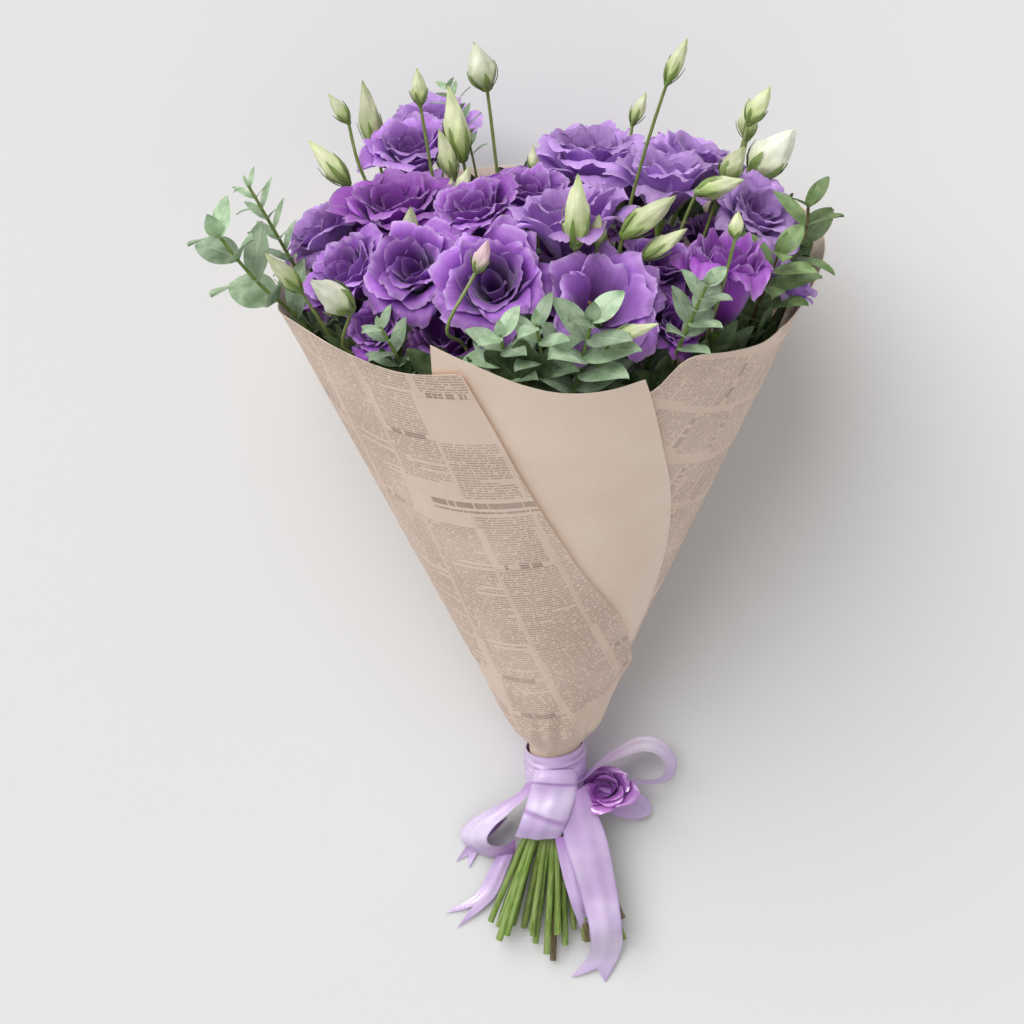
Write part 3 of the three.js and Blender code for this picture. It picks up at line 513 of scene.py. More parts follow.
def print_on(made, u, v):
    """Columns of set lines, each a row of word-long dashes, in blocks with heading bars, with rules between
    the columns, and one bold band with clear paper round it."""
    column = u // COLUMN_WIDTH
    in_column = u.fraction(COLUMN_WIDTH)
    down = v + made.random(column, 3) * 40
    line = down // LINE_PITCH
    in_line = down.fraction(LINE_PITCH)
    off_line = abs(in_line - 0.5)
    block = line // BLOCK_LINES
    in_block = (line + 100 * BLOCK_LINES) % BLOCK_LINES
    # Blocks differ: some are set narrower, some have a heading, and a few are blank.
    kind = made.random(column, block, 5)
    inset = (kind > NARROW_ABOVE) * NARROW_INSET
    between = (in_column > inset + COLUMN_MARGIN) * (in_column < 1 - COLUMN_MARGIN - inset)
    cut_short = (made.random(column, line, 9) < SHORT_BELOW) * made.random(column, line, 11)
    set_part = (in_column < 0.97 - cut_short * 0.8) * 0.75
    words = made.spread(made.noise(made.vector(u * 0.62, line * 7.3), 1, 1), 0.38, 0.46)
    text = words * (off_line < TEXT_HALF_HEIGHT) * set_part
    heading_words = made.noise(made.vector(u * 0.3, block * 3.1), 1, 0) > 0.44
    heading = (abs(in_column - 0.5) < HEADING_HALF_WIDTH) * (heading_words * (off_line < HEADING_HALF_HEIGHT))
    ink = made.mix((in_block < HEADING_LINES) * (kind > HEADED_ABOVE), text, heading)
    ink = made.mix(kind < BLANK_BELOW, ink, (0, 0, 0)) * between
    rule = (in_column < 0.008) * (made.random(column, block, 2) > 0.4)
    box_rule = (in_block + in_line < 0.16) * (kind > BOXED_ABOVE)
    ink = ink | (rule | box_rule) * 0.6
    x, y = ((a - place) / (size / 2) for a, place, size in zip((u, v), HEADLINE_PLACE, HEADLINE_SIZE))
    large = (made.noise(made.vector(u * 0.42, 4), 1, 3) > 0.4) * (abs(y - 0.25) < 0.32)
    small = (made.noise(made.vector(u * 0.8, 9), 1, 1) > 0.42) * (abs(y + 0.5) < 0.12)
    return made.mix((abs(x) | abs(y)) < 1, ink, large + small)


def paper_finish(name, base, shade, printed):
    """Brown paper, clouded, with fibres. The print is worn, and fades toward the neck."""
    made = Finish(name, specular_ior_level=0.25)
    u, v = made.uv()
    cloud = made.cloud(22, 4)
    fibre = made.noise(made.vector(u * 0.35, v * 1.6), 1, 4)
    grain = made.cloud(1400)
    colour = made.mix(made.spread(cloud), base, shade)
    colour = made.mix(made.spread(fibre, 0.35, 0.75, 0, 0.16), colour, shade, "MULTIPLY")
    if printed:
        worn = made.spread(cloud, 0.25, 0.6, 0.55, 1) * made.spread(grain, 0.2, 0.6, 0.75, 1)
        worn = worn * made.spread(made.math("SQRT", u * u + v * v), *NECK_FADE, 0.25, 1)
        colour = made.mix(print_on(made, u, v) * worn * INK_SHARE, colour, INK)
    roughness = made.spread(fibre, 0.3, 0.7, 0.74, 0.9)
    return made.surface(colour, roughness, fibre * 0.7 + grain * 0.3, 0.0004, 0.4)


PRINTED = paper_finish("printed_paper", (0.86, 0.69, 0.58), (0.80, 0.63, 0.52), True)
PLAIN = paper_finish("plain_paper", (0.95, 0.79, 0.665), (0.90, 0.73, 0.605), False)

# Paper

PAPER_THICK = 0.5
PAPER_ROWS = 64
PAPER_STEP = 1.6
PRESSED_HEIGHT = 0.06
LAYER_STEP = 2
NECK_PAPER_RADIUS = 14.6
NECK_TOP = 24.5
FLARE_START = 42
CONE_RADIUS = 12
CONE_FLARE = 0.432
CONE_NARROW = 3.5
CONE_VEER = 0.009
PAPER_FOOT = -10
WRAP_EDGE = [
    (8, 318), (20, 325), (28, 344), (39, 338), (53, 331), (64, 335), (90, 352), (135, 350), (180, 346),
    (225, 346), (270, 332), (301, 348), (316, 345), (330, 342), (343, 348), (346.5, 318), (353, 267),
    (361, 225), (371, 188), (388, 150), (408, 112), (430, 84),
]  # fmt: skip
WRAP_TOP_CORNER = 343
WRAP_INNER_UNTIL = 60
WRAP_OUTER_FROM = 320
PRINT_TURN = 318
PANEL_EDGE = [
    (-38, 328), (-25, 336), (-22, 365), (-14, 353), (-5, 340), (2, 334), (10, 333), (18, 337), (27, 280),
    (34, 245), (44, 191), (52, 135),
]  # fmt: skip
PANEL_CORNERS = [-22, 18]


def cone_radius(angle, along):
    """The cone's radius at an angle in degrees, for numbers and arrays."""
    share = np.clip((along - NECK_TOP) / (FLARE_START - NECK_TOP), 0, 1)
    flared = CONE_RADIUS + CONE_FLARE * np.maximum(along, FLARE_START)
    return lerp(NECK_PAPER_RADIUS, flared, share) - CONE_NARROW * share * np.sin(np.radians(angle)) ** 2


def cone_veer(along):
    return CONE_VEER * np.maximum(0, along - NECK_TOP)


def rim_at(angle):
    """How far along the wrap's rim is, at angles round the bunch in degrees."""
    return np.interp(np.clip(angle, WRAP_EDGE[0][0], WRAP_TOP_CORNER), *zip(*WRAP_EDGE))


def edge_line(edge, corners):
    """Close angles along a sheet's edge, and the edge there, smooth between corners."""
    breaks = [0, *[i for i, (angle, _) in enumerate(edge) if angle in corners], len(edge) - 1]
    angles, heights = [], []
    for first, last in zip(breaks, breaks[1:]):
        part = edge[first : last + 1]
        xs = np.linspace(part[0][0], part[-1][0], ceil((part[-1][0] - part[0][0]) / PAPER_STEP) + 1)
        skipped = min(1, len(angles))
        angles.extend(xs[skipped:])
        heights.extend(np.interp(xs, *curve_through(part, 40 * len(part)).T)[skipped:])
    return np.array(angles), np.array(heights)


def bunch_place(points, veer=0):
    """The side, front and along of points, their angles round the bunch and how far out they are."""
    offset = np.array(points) - np.array(TIE)
    side, front, along = (offset @ np.array(way) for way in (SIDE, FRONT, ALONG))
    side = side - veer * cone_veer(along)
    return side, front, along, np.degrees(np.arctan2(side, front)) % 360, np.hypot(side, front)


def paper_waves(angle, along):
    """How far the paper stands out from a true cone: pleats near the tie, and slow waves further up."""
    a = np.radians(angle)
    gathered = smooth((along - 22) / 22) * (1 - smooth((along - 40) / 90))
    pleats = 1.1 * np.sin(11 * a + 1.3 * np.sin(3 * a) + along / 16) + 0.5 * np.sin(19 * a - along / 20)
    share = np.clip(along / 350, 0, 1.2)
    waves = 1.1 * np.sin(3 * a + 0.4 + 1.6 * share) + 0.3 * np.sin(7 * a + along / 90)
    dents = 0.15 * np.sin(5 * a - along / 33) * np.sin(along / 41 + 2 * a)
    return gathered * pleats + share**1.5 * waves + share * dents


def paper_sheet(edge, corners, layer_at, lifted, print_turn):
    """A sheet: its outer face in material 0, and its inner face and edges in material 1."""
    angles, tops = edge_line(edge, corners)
    shares = np.linspace(0, 1, PAPER_ROWS + 1)[:, None] ** 0.9
    along = PAPER_FOOT + shares * (tops - PAPER_FOOT)
    angle = np.broadcast_to(angles, along.shape)
    radius = cone_radius(angle, along) + layer_at(angle) + paper_waves(angle, along)
    radius = radius + lifted(angle) * np.exp((along - tops) / 7)
    # On the flat sheet a point is at a distance from the cone's apex, and at part of its angle round it.
    slant = hypot(1, CONE_FLARE)
    reach = (along + CONE_RADIUS / CONE_FLARE) * slant
    way = np.radians(angle - print_turn) * CONE_FLARE / slant
    uv = np.stack([reach * np.sin(way), reach * np.cos(way)], axis=-1)
    faces = []
    for side in (0.5, -0.5):
        away = radius + side * PAPER_THICK
        a = np.radians(angle)
        points = points_at(cone_veer(along) + away * np.sin(a), away * np.cos(a), along)
        points[..., 2] = np.maximum(points[..., 2], PRESSED_HEIGHT + (0.5 - side) * PAPER_THICK)
        faces.append(points)
    outer, inner = faces
    skin = Skin()
    skin.add(outer, uv=uv)
    skin.add(inner[:, ::-1], slot=1, uv=uv[:, ::-1])
    ends = [(outer[-1], inner[-1]), (inner[0], outer[0])]
    sides = [(inner[:, -1], outer[:, -1]), (outer[:, 0], inner[:, 0])]
    for rim in ends + sides:
        skin.add(np.stack(rim), slot=1)
    return skin


def wrap_layer(angle):
    share = np.clip((angle - WRAP_INNER_UNTIL) / (WRAP_OUTER_FROM - WRAP_INNER_UNTIL), 0, 1)
    return lerp(-LAYER_STEP, LAYER_STEP, share)


def wrap_lift(angle):
    """The sheet's rim turns out, and its free edge stands off the sheet below."""
    return np.where(angle < WRAP_INNER_UNTIL, 0.2, np.where(angle > WRAP_TOP_CORNER, 1.4, 0.9))


wrap = paper_sheet(WRAP_EDGE, [WRAP_TOP_CORNER], wrap_layer, wrap_lift, PRINT_TURN)
wrap.piece("paper_wrap_sheet", [PRINTED, PLAIN], "printed_paper", "paper_wrap")
panel = paper_sheet(PANEL_EDGE, PANEL_CORNERS, lambda angle: 0, lambda angle: 0.5, 0)
panel.piece("paper_panel_sheet", [PLAIN, PLAIN], "plain_paper", "paper_panel")

# Flowers


def make_bloom(side, front, along, radius, lean_side, lean_front, opening, pale, deep=1.3, rings=4):
    """An open flower: the middle of its face, its radius, how its axis leans from the bunch's own, how far
    it is open, how pale it is, or warm if below 0, its depth over its radius, and its rings of petals."""
    made = SimpleNamespace(side=side, front=front, radius=radius, opening=opening, pale=pale, rings=rings)
    made.axis = leaning(lean_side, lean_front)
    made.depth = radius * deep
    made.base = at(side, front, along) - made.axis * made.depth
    made.turn = 360 * chance(side, front)
    return made


# A bloom's paleness is its own tone; the highest values, on blooms at the back that face the light, are
# partly a painted highlight.
BLOOMS = [
    (-28, 118, 385, 29, -8, 46, 0.8, 0.1),
    (32, 122, 373, 29, 10, 44, 0.85, 0.3, 1.3, 2),
    (-72, 90, 385, 25, -18, 38, 0.8, 0.05),
    (72, 109, 353, 16, 30, 40, 0.4, -0.2),
    (100, 94, 391, 21, 8, -4, 0.25, -0.35, 2.5, 3),
    (-112, 64, 375, 24, -34, 20, 0.5, 0.15),
    (-94, 98, 352, 15, -30, 40, 0.4, -0.1),
    (15, 70, 411, 30, -6, -8, 0.45, 0.5, 1.45, 3),
    (-38, 50, 404, 23, -14, 12, 0.6, -0.1),
    (126, 26, 386, 23, 30, 24, 0.7, 0.95),
    (66, 64, 372, 18, 8, 20, 0.5, 0.1),
    (-81, 20, 399, 31, -6, 6, 0.75, -0.35),
    (-5, 14, 399, 22, 0, 10, 0.5, 0.1),
    (74, -4, 403, 26, 8, -4, 0.7, 0.8, 1.4),
    (-129, -6, 374, 23, -38, 4, 0.6, 0.6),
    (143, 54, 352, 15, 46, 16, 0.4, 1.1),
    (32, -40, 405, 30, 2, 0, 0.9, 0.8),
    (97, -60, 391, 25, 20, -6, 0.7, 1.0),
    (-74, -44, 408, 25, -8, 16, 0.8, 0.35),
    (-62, -98, 404, 24, -8, 14, 0.6, 0.8),
    (-22, -62, 372, 24, 0, -10, 0.6, -0.2),
    (6, -108, 362, 24, 0, -26, 0.6, 0.3),
    (64, -104, 366, 23, 14, -24, 0.6, 0.4),
    (-116, -60, 365, 22, -32, -16, 0.6, 0.45),
]
BLOOMS = [make_bloom(*row) for row in BLOOMS]

# Rings of petals from the outside in: their number, half the angle that each one spans, how far out and how
# high they reach, how much of the flower's opening they share, and how strongly their rims wave
WHORLS = [
    (4, 60, 1.08, 0.92, 1.0, 1.2),
    (4, 58, 0.9, 1.02, 0.8, 1.15),
    (3, 76, 0.68, 1.06, 0.5, 0.75),
    (3, 82, 0.46, 1.0, 0.25, 0.5),
]
CORE = (2, 110, 0.26, 0.92, 0.0, 0.35)
OPEN_HEART = 0.85
PETAL_SHAPE = [(0.0, 0.4), (0.2, 0.66), (0.45, 0.93), (0.68, 1.0), (0.86, 0.93), (0.95, 0.8), (1.0, 0.66)]
PETAL_COLUMNS = 24
PETAL_ROWS = 16
PETAL_LAP = 0.07
# How far a petal's middle line leans from the flower's axis at shares of its length, closed and wide open
LEAN_SHARES = [0, 0.3, 0.62, 0.84, 1]
LEAN_CLOSED = np.array([68, 30, 4, 6, 50])
LEAN_OPEN = np.array([46, 42, 46, 82, 140])
PICTURE_UP = Vector((0.04, 1, -0.1)).normalized()
# Read as a cup, a flower is this share of its radius wide at its base.
CUP_FOOT = 0.14


def petal_points(flower, angle_deg, seed, half, reach, tall, opening, wave, lap=PETAL_LAP):
    """Points of one petal, with u from -1 to 1 across and v from 0 to 1 up."""
    u, v = grid(PETAL_COLUMNS + 1, PETAL_ROWS + 1)
    luck = [chance(seed, 3.1 * k + 0.7) for k in range(12)]

    def ripple(turns, k):
        return np.sin(pi * (turns * u + 2 * luck[k]))

    reach *= lerp(0.92, 1.06, luck[0])
    tall *= lerp(0.93, 1.03, luck[1])
    outward = spoke(flower.axis, angle_deg + flower.turn)
    # The petals on a flower's lower side hang open further.
    opening = min(1.35, max(0, opening - 0.26 * outward.dot(PICTURE_UP) + 0.24 * (luck[10] - 0.5)))
    spread = half * np.interp(v, *zip(*PETAL_SHAPE))
    angle = np.radians(angle_deg + flower.turn + spread * u + 9 * (luck[2] - 0.5) * v)
    # The rim is an arc with a shallow dip, so the petal is a little shorter away from its tip.
    dip = 0.035 * np.exp(-((u - 0.8 * (luck[3] - 0.5)) ** 2) / 0.05)
    share = v * (1 - 0.2 * np.abs(u) ** 2.4 - dip * v)
    # The petal's middle line gives the radius and the height, each up to 1, at shares of its length.
    shares = np.linspace(0, 1, 60)
    lean = np.radians(np.interp(shares, LEAN_SHARES, lerp(LEAN_CLOSED, LEAN_OPEN, opening)))
    out, up = np.cumsum(np.sin(lean)), np.cumsum(np.cos(lean))
    radius = reach * (0.12 + 0.88 * np.interp(share, shares, out / out.max()))
    level = tall * (0.07 + 0.93 * np.interp(share, shares, up / up.max()))
    # One side of each petal lies outside its neighbour, and the other side inside. Its sides turn out or in.
    radius = radius + lap * reach * u * np.sqrt(v) + (0.14 * luck[4] - 0.05) * reach * u**2 * v**2
    waves = ripple(1.5, 6) + 0.5 * ripple(2.9, 7)
    frills = ripple(5.3, 8) * (0.5 + 0.5 * ripple(1.9, 9))
    ruffle = pi * (9.1 * u + 2 * luck[10])
    strength = wave * 0.015 * (0.55 + 0.45 * ripple(2.7, 1)) * v**6
    radius = radius + wave * (0.045 * waves * v**2 + 0.018 * frills * v**4) + strength * np.sin(ruffle)
    lift = ripple(1.6, 9) + 0.35 * ripple(3.7, 11)
    level = level + 0.045 * wave * lift * v**2.5 + strength * np.cos(ruffle)
    # A soft crease down the petal
    radius = radius - 0.012 * reach * np.exp(-((u - luck[5] + 0.5) ** 2) / 0.03) * np.sin(pi * v)
    return turned(flower.base, flower.axis, flower.radius * radius, angle, flower.depth * level)


def petal_tint(flower, seed, painted_ring_shade=0):
    return chance(seed, 1), painted_ring_shade, flower.pale * pick(0.6, 1.2, seed, 2)


def add_ring(skin, flower, ring, index, seed, lap=PETAL_LAP):
    count, half, reach, tall, share, frill = ring
    for k in range(count):
        angle = (k + 0.5 + 0.5 * (index % 2)) * 360 / count + 9 * (chance(seed + index, k) - 0.5)
        petal = seed * 7.3 + index * 31 + k
        points = petal_points(flower, angle, petal, half, reach, tall, share * flower.opening, frill, lap)
        # The tint's green is the ring's share of painted shade, larger further in.
        skin.add(points, petal_tint(flower, petal, clamp01(index / 4)))


def add_heart(skin, flower, slot):
    """A pistil with a two-lobed tip, and stamens round it."""
    axis = flower.axis
    foot = flower.base + axis * 0.14 * flower.depth
    top = foot + axis * 0.48 * flower.depth
    path = [lerp(foot, top, t) for t in (0, 0.3, 0.6, 0.8, 0.9, 1.0)]
    skin.add_tube(path, [1.8, 1.9, 1.1, 1.0, 2.3, 0.4], 12, (0.1, 0, 0), slot)
    for side in (-1, 1):
        way = across(axis)[0] * side
        lobe = [top + way * r + axis * h for r, h in [(0, -1), (1.4, 0.6), (2.8, 0.9), (3.6, 0.2)]]
        skin.add_tube(lobe, [1.2, 1.7, 1.5, 0.3], 10, (0.2, 0, 0), slot)
    for k in range(6):
        out = spoke(axis, 60 * k + flower.turn)
        tip = foot + axis * 0.4 * flower.depth + out * 0.24 * flower.radius
        stalk = [foot + out * 1.5, lerp(foot, tip, 0.5) + out * 1.5, tip]
        skin.add_tube(curve_through(stalk, 6), 0.35, 6, (0.1, 0, 0), slot)
        anther = [tip + axis * h for h in (-1.6, -1, 0, 1, 1.6)]
        skin.add_tube(anther, [0.2, 0.9, 1.1, 0.8, 0.2], 8, (1, 0, 0), slot)


def crossing(points, own):
    """The share of the points that lie inside another flower or outside the paper."""
    flat = points.reshape(-1, 3)
    bad = np.zeros(len(flat), bool)
    for other in BLOOMS:
        if other is not own:
            offset = flat - np.array(other.base)
            height = offset @ np.array(other.axis)
            away = np.linalg.norm(offset - times(height, other.axis), axis=1)
            cup = other.radius * (CUP_FOOT + 0.9 * height / other.depth)
            bad |= (height > 0) & (height < other.depth) & (away < cup)
    _, _, along, angle, reach = bunch_place(flat, 1)
    bad |= (along < rim_at(angle) + 3) & (reach > cone_radius(angle, along) - 4)
    return bad.mean()


def add_loose_petals(skin, flower, seed):
    """Outer petals that hang open between the others, where there is room for them."""
    for k in range(5):
        petal = seed * 7.3 + 211 + k
        angle = 72 * (k + 1) + 20 * (chance(petal, 3) - 0.5)
        for reach in (1.3, 1.18, 1.06):
            points = petal_points(flower, angle, petal, 38, reach, pick(0.7, 0.9, petal, 4), 1.2, 1.1)
            if crossing(points, flower) < 0.02:
                skin.add(points, petal_tint(flower, petal))
                break


def add_flower(skin, flower, seed):
    """A whole flower, with its heart in material 1 if it is open."""
    add_loose_petals(skin, flower, seed)
    for index, ring in enumerate(WHORLS[: flower.rings]):
        add_ring(skin, flower, ring, index, seed)
    if flower.opening < OPEN_HEART:
        add_ring(skin, flower, CORE, 4, seed)
    else:
        add_heart(skin, flower, 1)


for number, flower in enumerate(BLOOMS, 1):
    skin = Skin()
    add_flower(skin, flower, number)
    skin.piece(f"bloom_{number:02d}_petals", [PETAL, HEART], "petals", f"bloom_{number:02d}")

# Stems, buds and leaves

# Each flower stem has flowers, by their places in the list from 0, and buds. A bud's row is its middle, how
# it leans, its length, its width, and how white it is, or pink if below 0.
FLOWER_STEMS = [
    ([0], [(-32, 134, 404, 20, 20, 22, 9, -0.9)]),
    ([1, 3], [(19, 106, 416, 4, 8, 43, 14), (30, 98, 402, 4, 6, 18, 9), (46, 152, 366, 70, 20, 26, 8)]),
    ([2, 6], [(-72, 56, 389, 5, 10, 30, 13)]),
    ([4], [(57, 98, 409, 50, 8, 36, 14), (66, 96, 392, 56, 6, 28, 10), (102, 123, 412, 4, 6, 15, 8)]),
    ([5], [(-114, 108, 374, -44, 20, 30, 17, 0.7), (-140, 92, 382, -34, 12, 30, 10)]),
    ([7, 12], [(-2, -14, 403, -2, 0, 16, 6)]),
    ([8], [(-49, 12, 394, 4, 4, 18, 7), (-42, 22, 402, 20, 4, 24, 9)]),
    ([10, 13], [(99, 52, 407, 76, 2, 26, 12), (110, 14, 406, 30, 2, 22, 13), (77, 36, 474, 24, 0, 27, 9)]),
    ([9, 15], [(134, -6, 404, 40, 2, 36, 22, 0.9), (128, -28, 425, 28, 2, 25, 11)]),
    ([11, 14], [(-119, -22, 402, -38, 0, 34, 12), (-112, -36, 430, -30, 0, 20, 8)]),
    ([18, 19, 23], [(-97, -78, 410, -9, -4, 42, 13), (-65, -18, 447, -1, 0, 21, 9)]),
    (
        [16, 20],
        [(-45, -10, 427, -8, 0, 44, 14), (-51, 0, 413, -14, 2, 30, 10), (-30, -20, 457, -14, 0, 28, 16, 0.6)],
    ),
    ([17, 21, 22], [(62, -74, 410, 24, -6, 20, 8), (124, -54, 408, 2, -4, 24, 11)]),
]

# Each sprig's tip, the pairs of leaves down from it, a leaf's length and width, the step between pairs, and
# whether it is dark
SPRIGS = [
    (24, 154, 374, 4, 34, 18, 13, False),
    (-24, 150, 366, 4, 27, 13, 11, False),
    (-5, 152, 372, 3, 28, 11, 13, False),
    (-178, 48, 388, 4, 34, 21, 17, False),
    (-162, 20, 406, 6, 19, 5, 7.5, False),
    (150, 34, 388, 4, 32, 13, 12, True),
    (130, 74, 376, 4, 32, 16, 12, True),
    (86, 134, 384, 3, 22, 12, 9, False),
    (-88, 124, 362, 3, 20, 9, 9, False),
]

STEM_RADIUS = 2
SPRIG_RADIUS = 1.9
SHOOT_RADIUS = 1.5
STALK_RADIUS = 1.1
TWIG_RADIUS = 0.9
SHOOT_STEP = 8
SHOOT_MARGIN = 5
LAST_STRAIGHT = 24
ROUTE_SWEEPS = 24
EASED_SWEEPS = 18
FORK_ALONG = 240
FLOWER_HEIGHT = 398
CALYX_LENGTH = 9
SLOT_RINGS = [(1, 0), (7, 5), (14, 9.8)]
TIE_REACH = SLOT_RINGS[-1][1]
END_SPREAD = 4.1
END_STEEP = 0.9
END_BELOW = 94
END_UNEVEN = 20
TIE_FOOT = -14


def clear_of_blooms(p, margin):
    """Moves a point off the open flowers: each is read as a cup that widens from its base."""
    for bloom in BLOOMS:
        offset = p - bloom.base
        height = offset.dot(bloom.axis)
        if -3 <= height <= bloom.depth + margin:
            away = offset - bloom.axis * height
            cup = bloom.radius * (CUP_FOOT + 0.98 * clamp01(height / bloom.depth) ** 1.05) + margin
            if away.length < cup:
                p = p + away.normalized() * (cup - away.length) * 0.6
    return p


def hold_in_paper(p, margin):
    """Moves a point inside the paper where it is below the rim."""
    side, front, along, angle, reach = bunch_place(p, 1)
    excess = reach - (cone_radius(angle, along) - LAYER_STEP - margin)
    if excess > 0 and along <= rim_at(angle) + margin:
        p = p - SIDE * (excess * side / reach) - FRONT * (excess * front / reach)
    return p


def is_clear(p, margin):
    """Whether a point is clear of the open flowers, the wrap and the panel."""
    _, _, along, angle, reach = bunch_place(p)
    if reach > cone_radius(angle, along) - margin - LAYER_STEP:
        angle = (angle + 180) % 360 - 180
        behind = PANEL_EDGE[0][0] < angle < PANEL_EDGE[-1][0]
        if behind and along < np.interp(angle, *zip(*PANEL_EDGE)) + margin:
            return False
    return (clear_of_blooms(hold_in_paper(p, margin), margin) - p).length < 1e-6


def has_room(start, direction, length, shares, margin):
    """Whether a leaf is clear at some shares of its length."""
    return all(is_clear(start + direction * length * share, margin) for share in shares)


def route(start, heading, end, end_axis, count):
    """A smooth path from a fork to a point near the top, which bends round the flowers."""
    way = end - start
    reach = way.length
    aside = (way - heading * way.dot(heading)).normalized()
    after = start + heading * 0.3 * reach + aside * 0.16 * reach
    before = end - end_axis * min(LAST_STRAIGHT, 0.3 * reach)
    pairs = [(1 - t, t) for t in np.linspace(0, 1, count)]
    points = [start * s**3 + after * 3 * s * s * t + before * 3 * s * t * t + end * t**3 for s, t in pairs]
    for sweep in range(ROUTE_SWEEPS):
        for i in range(1, count - 1):
            points[i] = hold_in_paper(clear_of_blooms(points[i], SHOOT_MARGIN), SHOOT_MARGIN)
            if sweep < EASED_SWEEPS:
                points[i] = lerp(points[i], (points[i - 1] + points[i + 1]) / 2, 0.12)
    return points


def middle_of(places):
    return [sum(values) / len(values) for values in zip(*places)]


def tie_slots(targets):
    """Places of the stems in the tie: rings of them, in the order in which they spread above it."""
    side, front = middle_of(targets)
    offsets = [(x - side, y - front) for x, y in targets]
    order = sorted((hypot(*offset), i, atan2(*offset)) for i, offset in enumerate(offsets))
    slots = {}
    for count, radius in SLOT_RINGS:
        ring, order = order[:count], order[count:]
        ring.sort(key=lambda stem: stem[2])
        step = 2 * pi / len(ring)
        east = sum(cos(stem[2] - i * step) for i, stem in enumerate(ring))
        north = sum(sin(stem[2] - i * step) for i, stem in enumerate(ring))
        for i, (_, index, _) in enumerate(ring):
            angle = atan2(north, east) + i * step
            slots[index] = (radius * sin(angle), radius * cos(angle))
    return slots


stem_targets = [middle_of([(BLOOMS[k].side, BLOOMS[k].front) for k in blooms]) for blooms, _ in FLOWER_STEMS]
SLOTS = tie_slots([*stem_targets, *[row[:2] for row in SPRIGS]])


def below_tie(end, side, front, under=0, rise=0.6):
    """Points of a stem from its cut end to the tie's foot, with a bend half way."""
    foot = at(side, front, TIE_FOOT - under)
    middle = lerp(end, foot, 0.5)
    middle.z = lerp(foot.z, end.z, rise)
    return [end, middle, at(side, front, TIE_FOOT)]


def main_stem(index, radius, fork):
    """Points of a main stem from its cut end to where it forks."""
    side, front = SLOTS[index]
    height = radius + 0.3 + END_STEEP * (front + TIE_REACH)
    end_side = END_SPREAD * side + 2 * (chance(index, 8) - 0.5)
    end = UNDER_TIE + Vector((end_side, -END_BELOW - END_UNEVEN * chance(index, 5), height))
    return [*below_tie(end, side, front, 8, 0.62), at(side, front, NECK_TOP), fork]


def add_stalk(skin, points, radius, seed, woody=0, taper=1, sides=10, cut=False, slot=0):
    """A stem with a slightly thicker joint here and there. A cut one is closed at its first end."""
    length = sum((b - a).length for a, b in zip(points, points[1:]))
    path = curve_through(points, max(8, int(length / 5)))
    share = np.linspace(0, 1, len(path))
    joints = 0.06 * np.exp(-(((share * length / 42 + chance(seed, 4)) % 1 - 0.5) ** 2) / 0.004)
    rings = tube(path, radius * (1 + (taper - 1) * share + joints), sides)
    tint = (chance(seed, 6), woody, 0)
    if cut:
        first = rings[:1]
        face = np.concatenate([lerp(first.mean(axis=1, keepdims=True), first, 0.05), first])
        skin.add(face, tint, slot, length / (len(path) - 1), closed=True)
    skin.add(rings, tint, slot, length, closed=True)


def add_leaf(skin, base, direction, up, length, width, seed, slot=1):
    """A leaf that arches over, with its two halves raised from the midrib."""
    curl = pick(0.05, 0.24, seed, 1)
    sideways = direction.cross(up).normalized()
    lifted = sideways.cross(direction).normalized()
    u, v = grid(7, 10)
    half = 0.5 * width * (np.sin(pi * np.clip(v, 0.012, 0.99) ** 0.85) ** 0.68)
    level = curl * length * (v - v * v * 1.6) + 0.14 * half * np.abs(u) + 0.04 * width * np.sin(5 * v + 3 * u)
    points = np.array(base) + times(length * v, direction) + times(half * u, sideways) + times(level, lifted)
    skin.add(points, (chance(seed, 2), 0, 0), slot)


def add_calyx(skin, bloom, seed):
    """The cup under a flower, with narrow green lobes that lie along the petals."""
    foot = bloom.base - bloom.axis * CALYX_LENGTH
    path = [foot + bloom.axis * h for h in (0, 1.5, 4, 6.5, 8.5)]
    skin.add_tube(path, [1.5, 1.9, 2.5, 3.1, 3.3], 12, (chance(seed, 6), 0, 0), length=9)
    for k in range(5):
        out = spoke(bloom.axis, 72 * k + bloom.turn)
        direction = (bloom.axis + out * 0.55).normalized()
        base = foot + bloom.axis * 6.5 + out * 2.9
        add_leaf(skin, base, direction, out, pick(9, 13, seed, k), 2.2, seed + k)


def make_bud(side, front, along, lean_side, lean_front, length, width, pale=0.1):
    axis = leaning(lean_side, lean_front)
    base = at(side, front, along) - axis * 0.5 * length
    return SimpleNamespace(base=base, axis=axis, length=length, width=width, pale=pale)


# Shares of a bud's length, and its width there over its widest
BUD_OUTLINE = [
    (0, 0.04, 0.1, 0.2, 0.32, 0.45, 0.6, 0.76, 0.9, 1),
    (0.2, 0.42, 0.62, 0.86, 0.98, 0.97, 0.82, 0.56, 0.3, 0.06),
]


